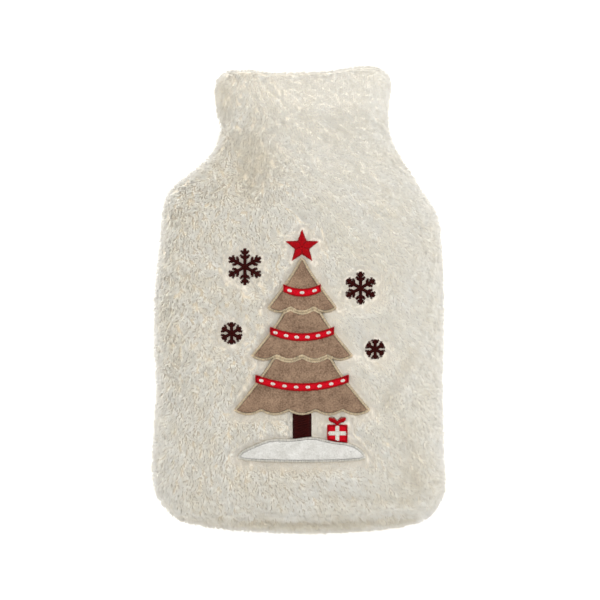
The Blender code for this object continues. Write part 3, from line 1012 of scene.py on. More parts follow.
@dataclass(frozen=True)
class Unevenness:
    """How much the pile's locks differ. A wisp is a group of locks that lie together."""

    # Turns, as shares of how far the pile strays there.
    wisp_turn: float = 0.45
    lock_turn: float = 0.22
    with_wisp: float = 0.45
    with_whorl: float = 0.55
    # Lengths, as shares of the pile's length there.
    reach: tuple[float, float] = (0.8, 1.3)
    lock_height: tuple[float, float] = (-0.16, 0.04)
    wisp_height: float = 0.05
    stands_out: float = 0.5  # the most that single locks stick out of the side walls
    curl: float = 0.28
    pull: tuple[float, float] = (0.12, 0.48)  # how far locks are drawn to their wisp's tip
    # Widths, as shares of the lock's, and tints, from 0 to 1.
    width: tuple[float, float] = (0.75, 1.25)
    tint: float = 0.7
    wisp_tint: float = 0.16
    lock_tint: float = 0.12


@dataclass
class Pile:
    """The fleece's pile: how long it is, how it lies, and where nothing grows."""

    full: float = 4.0 * MM
    depth: float = 0.62  # of its length that shows between the locks
    # Next to a patch it is pressed short, and grows longer between two distances from it.
    pressed: float = 1.8 * MM
    pressed_from: float = 1.5 * MM
    pressed_to: float = 9.5 * MM
    # On the hem turned in at the mouth it is short too: from what height on, and where across.
    hem: float = 2.7 * MM
    hem_from: float = 143.0 * MM
    hem_ease: float = 6.0 * MM
    hem_left: float = -50.0 * MM
    hem_right: float = 56.0 * MM
    bare: float = 0.25 * MM  # round each patch
    # Distances from a patch where none of it, and then all of it, points out or gets painted shade, and
    # where the ground under it is painted pale.
    pointing_out: tuple[float, float] = (4.5 * MM, 0.5 * MM)
    near_patch_at: tuple[float, float] = (8.0 * MM, 2.5 * MM)
    lock_half: float = 0.56 * MM
    wisp: float = 2.8 * MM  # between the middles of two wisps, on average
    wisp_long: float = 3.2  # how many times longer than wide a wisp is
    wisps_tried: int = 10  # the nearest ones, for each lock
    softness: float = 0.94  # how far the shading of a lock follows the cloth under it
    # Where the cover rests: the least height of the locks' tips, bends and roots.
    least: tuple[float, float, float] = (0.2 * MM, 0.9 * MM, 1.6 * MM)
    vary: Unevenness = Unevenness()
    outlines: list[Outline] = field(default_factory=list)

    def __post_init__(self) -> None:
        """Model the lock, and take what the patches press down."""
        self.lock = Strand(3, ((0.0, 0.85), (0.5, 1.0), (1.0, 0.0)))
        self.hulls = [outline.hull() for outline in self.outlines]

    def length(self, places: np.ndarray) -> np.ndarray:
        """How long the pile is: short round the patches and on the turned-in hem.

        Args:
            places: Where it stands.

        Returns:
            Its length at each place.
        """
        near = np.full(len(places), np.inf)
        for hull in self.hulls:
            near = np.minimum(near, hull.away(places))
        long = self.pressed + (self.full - self.pressed) * eased(
            near, self.pressed_from, self.pressed_to
        )
        in_hem = eased(places[:, 1], self.hem_from - self.hem_ease, self.hem_from + self.hem_ease)
        return long + (self.hem - long) * in_hem

    @staticmethod
    def combed(places: np.ndarray) -> tuple[np.ndarray, np.ndarray, np.ndarray]:
        """How the pile is combed, blended from the table of the cover's regions.

        Args:
            places: Where it stands.

        Returns:
            The way it lies as x and y, how far it strays in radians, and its roughness.
        """
        way = np.zeros((len(places), 2))
        stray, relief, total = np.zeros((3, len(places)))
        for _, x, y, angle, spread, rough in COMBED:
            off = places[:, :2] - (x * MM, y * MM)
            weight = np.exp(-(off**2).sum(1) / (2 * COMB_REACH**2)) + 1e-6
            turn = math.radians(angle)
            way += weight[:, None] * (math.cos(turn), math.sin(turn))
            stray += weight * math.radians(spread)
            relief += weight * rough
            total += weight
        return way / lengths(way), stray / total, relief / total

    @staticmethod
    def painted_shade(places: np.ndarray) -> np.ndarray:
        """How much painted shade the pile gets, from the table of its creases and seams.

        Args:
            places: Where it stands.

        Returns:
            A share a place, from 0 to 1.
        """
        most = np.zeros(len(places))
        for _, x0, y0, x1, y1, half, depth in PAINTED_SHADE_TABLE:
            start, run = np.array((x0, y0)) * MM, np.array((x1 - x0, y1 - y0)) * MM
            share = np.clip((places[:, :2] - start) @ run / (run @ run), 0, 1)
            off = places[:, :2] - start - share[:, None] * run
            near = np.exp(-(off**2).sum(1) / (2 * (half * MM) ** 2))
            most = np.maximum(most, depth * near)
        return most

    @staticmethod
    def swirl(places: np.ndarray) -> np.ndarray:
        """How far the pile turns in the soft whorls that wear leaves.

        Args:
            places: Where it stands.

        Returns:
            A turn a place, mostly from -1 to 1, as a share of how far it strays there.
        """
        total = np.zeros(len(places))
        for width, way, phase, weight in WHORLS:
            turn = math.radians(way)
            run = places[:, 0] * math.cos(turn) + places[:, 1] * math.sin(turn)
            total += weight * np.sin(run * 2 * math.pi / (width * MM) + phase)
        return total

    def clear_of_patches(self, places: np.ndarray) -> tuple[np.ndarray, np.ndarray]:
        """Find the nearest patch.

        Args:
            places: Where the pile stands.

        Returns:
            The distance to it, minus under one, and the way out from it as x and y.
        """
        edge = np.vstack([outline.evenly(OUTLINE_STEP) for outline in self.outlines])
        tree = tree_of(np.column_stack([edge, np.zeros(len(edge))]))
        nearest = np.array([tree.find((x, y, 0.0))[0][:2] for x, y in places[:, :2]])
        out = places[:, :2] - nearest
        away = np.full(len(places), np.inf)
        for outline in self.outlines:
            away = np.minimum(away, outline.away(places))
        return away, np.where(away[:, None] < 0, -1.0, 1.0) * out / lengths(out)

    def wisps(self, places: np.ndarray, middles: np.ndarray, ways: np.ndarray) -> np.ndarray:
        """Give each lock to a wisp, so that wisps are long the way that the pile lies.

        Args:
            places: Where the locks stand.
            middles: The wisps' middles.
            ways: The way the pile lies at each lock, as x and y.

        Returns:
            The number of each lock's wisp.
        """
        tree = tree_of(middles)
        near = np.array([[hit[1] for hit in tree.find_n(place, self.wisps_tried)] for place in places])
        off = middles[near] - places[:, None]
        along = (off[..., :2] * ways[:, None]).sum(-1)
        apart = (off**2).sum(-1) - along**2 * (1 - 1 / self.wisp_long**2)
        return near[np.arange(len(places)), apart.argmin(1)]

    def in_hem(self, places: np.ndarray) -> np.ndarray:
        """Whether each place is on the hem at the mouth, clear of the side seams."""
        x, y = places[:, 0], places[:, 1]
        return (y > self.hem_from) & (x > self.hem_left) & (x < self.hem_right)

    def near_patch_share(self, by_patch: np.ndarray) -> np.ndarray:
        """How near a patch each distance is, from 0 to 1: the share of painted shade on pressed pile,
        and of the ground's painted paleness.
        """
        return eased(by_patch, *self.near_patch_at)

    def grow(
        self,
        skin: Skin,
        spacing: float,
        rng: np.random.Generator,
        keep: Callable | None = None,
        floor: float | None = None,
    ) -> Strands:
        """Grow locks whose tips reach the skin from the ground under it.

        Args:
            skin: Where the tips reach.
            spacing: Usual distance between two locks.
            rng: Seeded random numbers.
            keep: Which of the skin's triangles carry pile, from their middles.
            floor: The height that no lock goes below, where the cover rests.

        Returns:
            The locks.
        """
        places, normals = skin.scatter(spacing, rng, keep)
        by_patch, out = self.clear_of_patches(places)
        # Under the patches nothing grows, but on the back, below them, it does.
        shown = (by_patch > self.bare) | (normals[:, 2] < 0.2)
        places, normals, by_patch, out = (v[shown] for v in (places, normals, by_patch, out))
        middles, middle_normals = skin.scatter(self.wisp, rng, keep)
        vary, count = self.vary, len(places)

        long = self.length(places)
        way, stray, relief = self.combed(places)
        whorl = self.swirl(places) * stray
        own = self.wisps(places, middles, turned(way, whorl))
        rim = eased(-normals[:, 2], -RIM[0], -RIM[1])
        wall = eased(-np.abs(normals[:, 2]), -WALL[0], -WALL[1])
        relief *= 1 - RIM_SMOOTH * rim

        # Locks turn with their wisp and with the whorls, but next to a patch they point out from it.
        wisp_way, wisp_stray, _ = self.combed(middles)
        wisp_turn = rng.normal(0, vary.wisp_turn, len(middles)) + self.swirl(middles)
        wisp_turn *= wisp_stray
        near = eased(by_patch, *self.pointing_out) * (normals[:, 2] > 0)
        turn = rng.normal(0, vary.lock_turn, count) * stray
        turn += vary.with_wisp * wisp_turn[own] * (1 - 0.7 * near)
        turn += vary.with_whorl * whorl * (1 - 0.5 * near)
        base = way * (1 - near)[:, None] + out * near[:, None]
        lie = along_skin(turned(base, turn), normals, WALL_DROOP * wall)

        # A lock leans further over than it stands. On the side walls single locks stick out.
        reach = long * rng.uniform(*vary.reach, count)
        height = rng.uniform(*vary.lock_height, count)
        height += rng.normal(0, vary.wisp_height, len(middles))[own]
        out_far = vary.stands_out * wall * rng.random(count) ** 2
        tall = long * (1.0 + relief * height + out_far)
        roots = places - normals * long[:, None]
        tips = roots + normals * tall[:, None] + lie * reach[:, None]

        # The locks of a wisp are drawn to one tip, the rougher the pile the further.
        wisp_lie = along_skin(turned(wisp_way, wisp_turn), middle_normals)
        wisp_tips = middles + wisp_lie * (0.8 * self.length(middles))[:, None]
        wisp_tips += middle_normals * 0.1 * MM
        pull = rng.uniform(*vary.pull, count) * relief * (1 - near) * (1 - wall)
        tips += (wisp_tips[own] - tips) * pull[:, None]

        # Each bends over most of the way up, and curls to one side.
        curl = rng.normal(0, vary.curl, count) * long * (0.4 + 0.6 * np.minimum(relief, 1.0))
        bends = roots + normals * (0.85 * tall)[:, None] + lie * (0.3 * reach)[:, None]
        bends += np.cross(normals, lie) * curl[:, None]
        if floor is not None:
            for points, least in zip((tips, bends, roots), self.least, strict=True):
                points[:, 2] = np.maximum(points[:, 2], floor + least)

        run = (tips - roots) / lengths(tips - roots)
        side = np.cross(normals, run)
        side /= lengths(side)
        # Short locks are narrower, and those of smooth pile wider, so that they close it.
        half = self.lock_half * rng.uniform(*vary.width, count) * (0.72 + 0.28 * long / self.full)
        half *= 1.4 - 0.4 * np.minimum(relief, 1.0)
        thick = half * (0.32 + 0.3 * relief)
        tint = rng.normal(0, vary.wisp_tint, len(middles))[own] + rng.normal(0, vary.lock_tint, count)
        tint *= np.minimum(0.3 + 0.7 * relief, 1.0)
        # The finish paints shade by these marks: deeper root shade by relief, darker and cooler on the
        # rims and next to the patches, and in the creases and along the bottom seam.
        upward = normals[:, 2] > 0
        pressed, painted_shade = self.near_patch_share(by_patch) * upward, self.painted_shade(places)
        marks = {
            "tint": np.clip(vary.tint + tint, 0, 1),
            "relief": np.maximum(relief, pressed) + 0.3 * painted_shade,
            "pale": np.maximum(0.6 * pressed, rim),
            "painted_shade": np.maximum(painted_shade * upward, 0.4 * pressed),
        }
        return Strands(roots, bends, tips, side, np.cross(run, side), half, thick, marks, normals)


def turned(ways: np.ndarray, angles: np.ndarray) -> np.ndarray:
    """Turn each x and y by its own angle.

    Args:
        ways: Each one's x and y.
        angles: Each one's angle, in radians.

    Returns:
        The turned ones.
    """
    cosine, sine = np.cos(angles), np.sin(angles)
    x = ways[:, 0] * cosine - ways[:, 1] * sine
    y = ways[:, 0] * sine + ways[:, 1] * cosine
    return np.column_stack([x, y])


def along_skin(ways: np.ndarray, normals: np.ndarray, down: np.ndarray | float = 0.0) -> np.ndarray:
    """Lay ways on a skin.

    Args:
        ways: Each one's x and y.
        normals: The skin's normal at each.
        down: How far down each one points, against a length of 1 for its x and y.

    Returns:
        Unit vectors along the skin.
    """
    level = np.column_stack([ways, np.zeros(len(ways)) - down])
    laid = level - (level * normals).sum(1)[:, None] * normals
    return laid / lengths(laid)


def thickness_of(places: np.ndarray, triangles: np.ndarray, normals: np.ndarray) -> np.ndarray:
    """Measure a wall, inwards from its corners.

    Args:
        places: The corners.
        triangles: The wall's faces, as three corners each.
        normals: The way out at each corner.

    Returns:
        The distance from each corner to the wall's other side.
    """
    tree = BVHTree.FromPolygons(places.tolist(), triangles.tolist())
    inside = 0.3 * MM  # where a ray starts, so that it doesn't hit the skin it comes from
    thick = np.empty(len(places))
    for i, (place, normal) in enumerate(zip(places, normals, strict=True)):
        hit = tree.ray_cast(Vector(place - normal * inside), Vector(-normal))[3]
        thick[i] = inside + (hit or 0.0)
    return thick


@dataclass
class FleecePanel:
    """A panel of fleece: its knitted ground, and the pile on it."""

    node: str
    outer: Facing
    name: str
    pile_names: tuple[str, ...]
    spacing: float  # between two locks
    floor: float | None = None
    flat: tuple[float, float] = (0.25, 0.395)
    flat_area: float = 0.081
    # The ground thins towards the mouth, from a little before the pile shortens.
    hem_from: float = 140 * MM
    hem_ease: float = 8 * MM
    hem_spacing: float = 1.5 * MM
    smooth_depth: float = 0.45  # the ground's depth under smooth pile, against rough pile's
    # The most that the ground is drawn in, as shares of the wall, outside and in the hem.
    most: float = 0.78
    most_in_hem: float = 0.44

    def ground(self, pile: Pile) -> bpy.types.Object:
        """Make the knitted ground: the CAD wall, drawn in by the pile's length.

        Args:
            pile: What grows on it.

        Returns:
            The ground's piece.
        """
        piece = copy_of(self.node, self.name)
        subdivide(piece, 1)
        places, triangles = corners_of(piece), triangles_of(piece)
        up = crosses_of(places, triangles)[:, 2] * self.outer.value > 0
        outer_normals = smooth_normals(places, triangles[up])
        inner_normals = smooth_normals(places, triangles[~up])
        is_outer = np.zeros(len(places), bool)
        is_outer[triangles[up]] = True
        normals = np.where(is_outer[:, None], outer_normals, inner_normals)
        in_hem = eased(places[:, 1], self.hem_from, self.hem_from + self.hem_ease)
        # The side walls look smoother from above, so the ground lies nearer to the tips there.
        rim = eased(-normals[:, 2] * self.outer.value, -RIM[0], -RIM[1])
        relief = np.minimum(pile.combed(places)[2] * (1 - RIM_SMOOTH * rim), 1.0)
        depth = pile.depth * (self.smooth_depth + (1 - self.smooth_depth) * relief)
        inset = np.where(is_outer, depth * pile.length(places), pile.hem * in_hem)
        most = np.where(is_outer, self.most + (self.most_in_hem - self.most) * in_hem, self.most_in_hem)
        most *= thickness_of(places, triangles, normals)
        move_corners(piece, places - normals * np.minimum(inset, most)[:, None])
        # It is painted paler where it shows more and lies shallower, under pressed pile and under smooth
        # pile, as painted light; deep under rough pile it keeps its darker colour, as painted shade.
        pale = pile.near_patch_share(pile.clear_of_patches(places)[0])
        pale = np.maximum(pale, 1.2 - 1.2 * relief) * is_outer
        stored = piece.data.attributes.new("pale", "FLOAT", "POINT")
        stored.data.foreach_set("value", pale.astype(np.float32))
        take(piece)
        bpy.ops.object.shade_smooth()
        return dress(piece, GROUND, "fleece", self.node)

    def locks(self, pile: Pile, rng: np.random.Generator) -> list[bpy.types.Object]:
        """Grow the pile on the panel's outer side, and on the hem turned in at its mouth.

        Args:
            pile: What to grow.
            rng: Seeded random numbers.

        Returns:
            The pile's pieces.
        """
        outer = Skin.of_node(self.node, self.outer)
        grown = pile.grow(outer, self.spacing, rng, floor=self.floor)
        made = grown.pieces(self.pile_names, pile.lock, softness=pile.softness)
        inner = Skin.of_node(self.node, Facing(-self.outer.value), 1)
        hem = pile.grow(inner, self.hem_spacing, rng, keep=pile.in_hem)
        made += hem.pieces([f"{self.name}_hem_pile"], pile.lock, softness=pile.softness)
        return [dress(piece, PILE, "fleece") for piece in made]

    def build(self, pile: Pile, rng: np.random.Generator) -> None:
        """Make the ground and the pile, and keep them."""
        self.pieces = self.locks(pile, rng)
        self.cloth = self.ground(pile)


# ---------------------------------------------------------------- the patches

UPPER_SIDE = 0.4  # a patch's upper faces have normals that point up by more than this


@dataclass(frozen=True)
class Nap:
    """The short upright pile of plush, which leans this way and that."""

    spacing: float = 0.8 * MM
    bare: float = 1.2 * MM  # along a patch's edge, under its border
    tall: tuple[float, float] = (0.35 * MM, 0.7 * MM)
    half: tuple[float, float] = (0.3 * MM, 0.45 * MM)
    sunk: float = 0.1 * MM
    lean: float = 1.1  # against its height
    stray: float = 0.8  # in radians, from the way of the tufts round it
    softness: float = 0.8  # how far the shading of a tuft follows the patch under it


@dataclass
class Patch:
    """A patch cut from plush or felt, swollen between its stitched edges."""

    node: str
    name: str
    finish: Finish
    slot: str
    swell: float  # how far its middle rises
    reach: float  # how far in from its edge it still rises
    flat: tuple[float, float] | None = None
    levels: int = 2
    dimple: float = 0.12  # how much more and less it rises here and there

    def build(self) -> None:
        """Copy the CAD patch, make it finer, and swell its upper side."""
        self.outline = Outline.of_node(self.node)
        piece = copy_of(self.node, self.name)
        subdivide(piece, self.levels, "SIMPLE")
        select_faces(piece, face_normals_z(piece) > UPPER_SIDE)
        bpy.ops.mesh.select_less()
        bpy.ops.mesh.vertices_smooth(factor=0.5, repeat=8, xaxis=False, yaxis=False, zaxis=True)
        bpy.ops.object.mode_set(mode="OBJECT")
        places = corners_of(piece)
        normals = smooth_normals(places, triangles_of(piece))
        within = np.clip(-self.outline.away(places) / self.reach, 0, 1)
        rise = self.swell * np.sqrt(1 - (1 - within) ** 2) * eased(normals[:, 2], 0.2, 0.7)
        # Cloth held by stitches dimples a little, in waves of about a centimetre.
        wave = np.sin(places[:, 0] / (1.9 * MM) + 2) * np.sin(places[:, 1] / (2.3 * MM))
        rise *= 1 + self.dimple * wave
        places[:, 2] += rise
        move_corners(piece, places)
        take(piece)
        bpy.ops.object.shade_smooth_by_angle(angle=math.radians(50))
        self.piece = dress(piece, self.finish, self.slot, self.node)

    def declare(self, ground: bpy.types.Object, going: list[bpy.types.Object]) -> None:
        """Args:
            ground: The cloth that it lies on. Not used.
            going: The pieces that go with it. Not used.
        """

    def grown(self, nap: Nap, rng: np.random.Generator) -> bpy.types.Object:
        """Grow nap over the patch.

        Args:
            nap: What it is like.
            rng: Seeded random numbers.

        Returns:
            The nap, as one piece.
        """
        skin = Skin(self.piece)
        up = crosses_of(skin.places, skin.triangles)
        skin.triangles = skin.triangles[up[:, 2] / lengths(up)[:, 0] > UPPER_SIDE]
        places, normals = skin.scatter(nap.spacing, rng)
        covered = -self.outline.away(places) > nap.bare
        places, normals = places[covered], normals[covered]
        count = len(places)
        turn = np.sin(places[:, 0] / (4 * MM)) + np.cos(places[:, 1] / (5 * MM))
        turn += rng.normal(0, nap.stray, count)
        lie = along_skin(turned(np.tile((0.0, -1.0), (count, 1)), turn), normals)
        side = np.cross(lie, normals)
        tall = rng.uniform(*nap.tall, count)[:, None]
        roots = places - normals * nap.sunk
        tips = places + normals * tall + lie * tall * nap.lean
        half = rng.uniform(*nap.half, count)
        marks = {"tint": rng.uniform(0.0, 1.0, count)}
        tufts = Strands(roots, (roots + tips) / 2, tips, side, lie, half, half, marks, normals)
        shape = Strand(3, ((0.0, 1.0), (1.0, 0.0)))
        made = tufts.pieces([f"{self.name}_nap"], shape, softness=nap.softness)[0]
        return dress(made, self.finish, self.slot)


class Heights:
    """How high the dressed front is at a place, for thread to lie on."""

    def __init__(self, skins: Sequence[Skin]) -> None:
        """Take the surfaces that count."""
        self.trees = [skin.tree() for skin in skins]

    def at(self, places: np.ndarray) -> np.ndarray:
        """Find the highest surface at each place.

        Args:
            places: Each one's x and y.

        Returns:
            Its height, or 0 where there is none.
        """
        above, down = 200 * MM, Vector((0, 0, -1))
        found = []
        for x, y in places:
            hits = (tree.ray_cast(Vector((x, y, above)), down)[0] for tree in self.trees)
            found.append(max((hit.z for hit in hits if hit), default=0.0))
        return np.array(found)


@dataclass
class Embroidery:
    """Satin stitches gathered for one piece, each an arched thread between two feet."""

    name: str
    finish: Finish
    heights: Heights
    rng: np.random.Generator
    spacing: float = 0.5 * MM
    crown: float = 0.35 * MM  # how far a thread arches over what it crosses
    sunk: float = 0.35 * MM  # how deep its feet go
    thread: float = 0.56  # half a thread's width, as a share of the spacing
    uneven: float = 0.09 * MM  # how far its feet stray along it

    def __post_init__(self) -> None:
        """Start with no stitches."""
        self.starts: list[np.ndarray] = []
        self.ends: list[np.ndarray] = []

    def threads(self, starts: np.ndarray, ends: np.ndarray) -> None:
        """Add stitches.

        Args:
            starts: Where each one's first foot is, as x and y.
            ends: Where its second foot is.
        """
        run = (ends - starts) / lengths(ends - starts)
        uneven = self.rng.normal(0, self.uneven, (2, len(starts)))[..., None]
        self.starts.append(starts + run * uneven[0])
        self.ends.append(ends + run * uneven[1])

    def column(self, path: np.ndarray, half: float | np.ndarray, closed: bool = False) -> None:
        """Lay stitches side by side across a path.

        Args:
            path: The path's places, from which it is divided evenly.
            half: Half the column's width, all along it or at each of the path's places.
            closed: Whether the path's end meets its start.
        """
        given = np.broadcast_to(half, len(path))
        rows = np.column_stack([path, given])
        if closed:
            rows = np.vstack([rows, rows[:1]])
        rows = evenly_along(rows, self.spacing)
        if closed:
            rows = rows[:-1]
            ahead, behind = np.roll(rows, -2, 0), np.roll(rows, 2, 0)
        else:
            ahead = np.vstack([rows[2:], rows[-1:], rows[-1:]])
            behind = np.vstack([rows[:1], rows[:1], rows[:-2]])
        along = (ahead - behind)[:, :2]
        along /= lengths(along)
        across = np.column_stack([along[:, 1], -along[:, 0]]) * rows[:, 2:]
        self.threads(rows[:, :2] + across, rows[:, :2] - across)

    def piece(self) -> bpy.types.Object:
        """Join the stitches into one mesh that lies on the front."""
        starts, ends = np.vstack(self.starts), np.vstack(self.ends)
        inner = [starts + (ends - starts) * share for share in (0.25, 0.5, 0.75)]
        first, last = self.heights.at(starts), self.heights.at(ends)
        top = np.max([self.heights.at(places) for places in inner], axis=0)
        top = np.maximum(top, (first + last) / 2) + self.crown
        first, last = first - self.sunk, last - self.sunk
        middle = np.column_stack([inner[1], 2 * top - (first + last) / 2])
        start, end = np.column_stack([starts, first]), np.column_stack([ends, last])
        run = (end - start) / lengths(end - start)
        side = np.cross((0.0, 0.0, 1.0), run)
        side /= lengths(side)
        half = np.full(len(start), self.thread * self.spacing)
        marks = {"tint": self.rng.uniform(0, 1, len(start))}
        stitches = Strands(start, middle, end, side, np.cross(run, side), half, half * 0.9, marks)
        shape = Strand(3, ((0.0, 0.7), (0.3, 1.0), (0.7, 1.0), (1.0, 0.7)))
        return stitches.joined(self.name, shape)


def bent(centre: Sequence[float], angle: float, near: float, far: float, count: int = 9) -> np.ndarray:
    """Draw a straight path out from a centre.

    Args:
        centre: Where it would begin, as x and y.
        angle: Its angle from +X, in degrees.
        near: How far from the centre it begins.
        far: How far from the centre it ends.
        count: How many places it has.

    Returns:
        The places.
    """
    reach = np.linspace(near, far, count)[:, None]
    turn = math.radians(angle)
    return np.asarray(centre) + reach * (math.cos(turn), math.sin(turn))


@dataclass
class Applique:
    """The fir with its trimmings, the snow, the parcel, the star and the snowflakes."""

    # Half the width of the borders, and how far in from a cut edge their middle runs.
    border: float = 1.15 * MM
    felt_border: float = 0.75 * MM
    border_in: float = 0.45 * MM
    # The star: x and y, and how far its tips and its waists are from there, in mm.
    star: tuple[float, float] = (0.0, 73.0)
    star_tip: float = 13.0
    star_waist: float = 5.6
    # Snowflakes: node, x, y, radius, then its twigs as start and length, all in mm.
    flakes: tuple = (
        ("snowflake_upper_left", -43.0, 58.0, 14.0, ((5.6, 2.6), (9.2, 1.9))),
        ("snowflake_upper_right", 44.0, 42.0, 12.5, ((5.2, 2.4), (8.4, 1.6))),
        ("snowflake_lower_left", -53.0, 8.0, 8.5, ((4.6, 1.9),)),
        ("snowflake_lower_right", 55.0, -4.0, 7.5, ((4.2, 1.6),)),
    )
    # Garlands: node, half length, height of the ends, how far the middle hangs, in mm.
    garlands: tuple = (
        ("garland_top", 14.0, 42.0, 3.5),
        ("garland_middle", 24.0, 10.0, 5.0),
        ("garland_bottom", 35.0, -26.0, 6.5),
    )
    # Half a bauble's width, and the distance between the middles of two, in mm.
    bauble: float = 1.55
    baubles_apart: float = 8.5
    # Half the width of the parcel's ribbon, and of a snowflake's arms and twigs.
    ribbon: float = 1.6 * MM
    arm: float = 1.25 * MM
    twig: float = 0.95 * MM
    padding_down: float = 0.25 * MM  # how far padding lies under the CAD shape's top
    # Tiers: node and flat size, in m.
    tiers: tuple = (
        ("fir_tier_top", (0.052, 0.042)),
        ("fir_tier_middle", (0.077, 0.041)),
        ("fir_tier_bottom", (0.103, 0.046)),
    )
    snow_flat: tuple[float, float] = (0.097, 0.021)
    parcel_flat: tuple[float, float] = (0.0152, 0.0128)

    def cloth(self, rng: np.random.Generator) -> None:
        """Make the plush and felt patches.

        Args:
            rng: Seeded random numbers.
        """

        def plush(node: str, finish: Finish, slot: str, reach: float, flat: tuple) -> Patch:
            """Describe a plush patch."""
            return Patch(node, f"{node}_plush", finish, slot, swell=0.9 * MM, reach=reach, flat=flat)

        def felt(node: str, swell: float, reach: float, flat: tuple | None = None) -> Patch:
            """Describe a felt patch."""
            return Patch(node, f"{node}_felt", RED_FELT, "red_felt", swell, reach, flat)

        self.plush = [plush(node, TAUPE, "taupe_plush", 6 * MM, flat) for node, flat in self.tiers]
        self.plush.append(plush("snow_bank", WHITE, "white_plush", 5 * MM, self.snow_flat))
        self.parcel = felt("gift_box", 0.4 * MM, 3 * MM, self.parcel_flat)
        self.felt = [felt(node, 0.3 * MM, 2 * MM) for node, *_ in self.garlands]
        self.felt.append(self.parcel)
        for patch in (*self.plush, *self.felt):
            patch.build()
        self.naps = [patch.grown(Nap(), rng) for patch in self.plush]

    def bases(self) -> None:
        """Make the padding under the satin embroidery: the CAD shapes, a little lower."""
        self.padding = {}
        for node, finish, slot in (
            ("trunk", BROWN, "brown_satin"),
            ("star", RED, "red_satin"),
            ("gift_ribbon", IVORY, "white_satin"),
            *((node, BROWN, "brown_satin") for node, *_ in self.flakes),
        ):
            piece = copy_of(node, f"{node}_padding")
            places = corners_of(piece)
            normals = smooth_normals(places, triangles_of(piece))
            places[:, 2] -= self.padding_down * (normals[:, 2] > 0.2)
            move_corners(piece, places)
            self.mark(piece)
            take(piece)
            bpy.ops.object.shade_smooth_by_angle(angle=math.radians(40))
            self.padding[node] = dress(piece, finish, slot, node)

    @staticmethod
    def mark(piece: bpy.types.Object) -> None:
        """Give a piece the attributes that its thread finish reads, as for a shaded foot.

        Args:
            piece: The piece.
        """
        for label, value in (("along", 0.08), ("tint", 0.4)):
            stored = piece.data.attributes.new(label, "FLOAT", "POINT")
            stored.data.foreach_set("value", np.full(len(piece.data.vertices), value, np.float32))

    def embroider(self, heights: Heights, under_felt: Heights, rng: np.random.Generator) -> None:
        """Stitch the borders and the satin shapes.

        Args:
            heights: The front with all its patches.
            under_felt: The front with its plush patches alone, for what the felt lies on.
            rng: Seeded random numbers.
        """
        self.stitched = []
        for patch in self.plush:
            thread = IVORY if patch.finish is WHITE else BEIGE
            self.edge(patch, self.border, thread, None, under_felt, rng)
        for patch in self.felt:
            self.edge(patch, self.felt_border, RED, "red_satin", heights, rng)
        self.baubles(heights, rng)
        self.stitch_star(heights, rng)
        self.stitch_trunk(heights, rng)
        self.stitch_ribbon(heights, rng)
        for flake in self.flakes:
            self.stitch_flake(flake, heights, rng)

    def edge(
        self,
        patch: Patch,
        half: float,
        finish: Finish,
        slot: str | None,
        heights: Heights,
        rng: np.random.Generator,
    ) -> None:
        """Sew a satin border round a patch, over its cut edge.

        Args:
            patch: What it goes round.
            half: Half its width.
            finish: The thread's finish.
            slot: The thread's material slot, if the record has one.
            heights: What it lies on.
            rng: Seeded random numbers.
        """
        work = Embroidery(f"{patch.node}_border", finish, heights, rng)
        path = patch.outline.evenly(OUTLINE_STEP)
        along = np.roll(path, -1, 0) - np.roll(path, 1, 0)
        along /= lengths(along)
        inward = np.column_stack([-along[:, 1], along[:, 0]])
        work.column(path + inward * min(self.border_in, 0.55 * half), half, closed=True)
        self.stitched.append(dress(work.piece(), finish, slot))

    def baubles(self, heights: Heights, rng: np.random.Generator) -> None:
        """Sew round ivory dots on the garlands, as baubles of thread.

        Args:
            heights: What the thread lies on.
            rng: Seeded random numbers.
        """
        work = Embroidery("garland_baubles", IVORY, heights, rng, spacing=0.4 * MM, crown=0.6 * MM)
        share = np.linspace(-1, 1, 9)
        for _, half, ends, hang in self.garlands:
            count = max(2, round(2 * half / self.baubles_apart))
            for x in (np.arange(count) + 0.5) / count * 2 * half - half:
                y = ends - hang * (1 - (x / half) ** 2)
                slope = 2 * hang * x / half**2
                along = np.array((1.0, slope)) / math.hypot(1.0, slope)
                path = (np.array((x, y)) + share[:, None] * along * self.bauble) * MM + MOTIF
                work.column(path, (0.5 + (self.bauble - 0.5) * np.sqrt(1 - share**2)) * MM)
        self.stitched.append(dress(work.piece(), IVORY, "white_satin"))

    def stitch_star(self, heights: Heights, rng: np.random.Generator) -> None:
        """Fill the star's five points with stitches across each.

        Args:
            heights: What the thread lies on.
            rng: Seeded random numbers.
        """
        work = Embroidery("star_satin", RED, heights, rng, crown=0.5 * MM)
        centre = np.array(self.star) * MM + MOTIF
        turn = math.radians(36)
        waist_along, waist_half = (self.star_waist * f(turn) for f in (math.cos, math.sin))
        for k in range(5):
            path = bent(centre, 90 + 72 * k, 0.8 * MM, (self.star_tip - 0.3) * MM, 33)
            reach = np.linalg.norm(path - centre, axis=1) / MM
            near = reach * math.tan(turn)
            far = waist_half * (self.star_tip - reach) / (self.star_tip - waist_along)
            work.column(path, np.minimum(near, far) * MM + 0.2 * MM)
        self.stitched.append(dress(work.piece(), RED, "red_satin"))

    def stitch_trunk(self, heights: Heights, rng: np.random.Generator) -> None:
        """Fill the trunk with level rows of long stitches, broken here and there.

        Args:
            heights: What the thread lies on.
            rng: Seeded random numbers.
        """
        work = Embroidery("trunk_satin", BROWN, heights, rng, crown=0.35 * MM)
        outline = Outline.of_node("trunk")
        low, high = outline.corners.min(0), outline.corners.max(0)
        starts, ends = [], []
        over = 0.2 * MM  # how far the stitches go past the outline
        for i, y in enumerate(np.arange(low[1] + 0.2 * MM, high[1], work.spacing)):
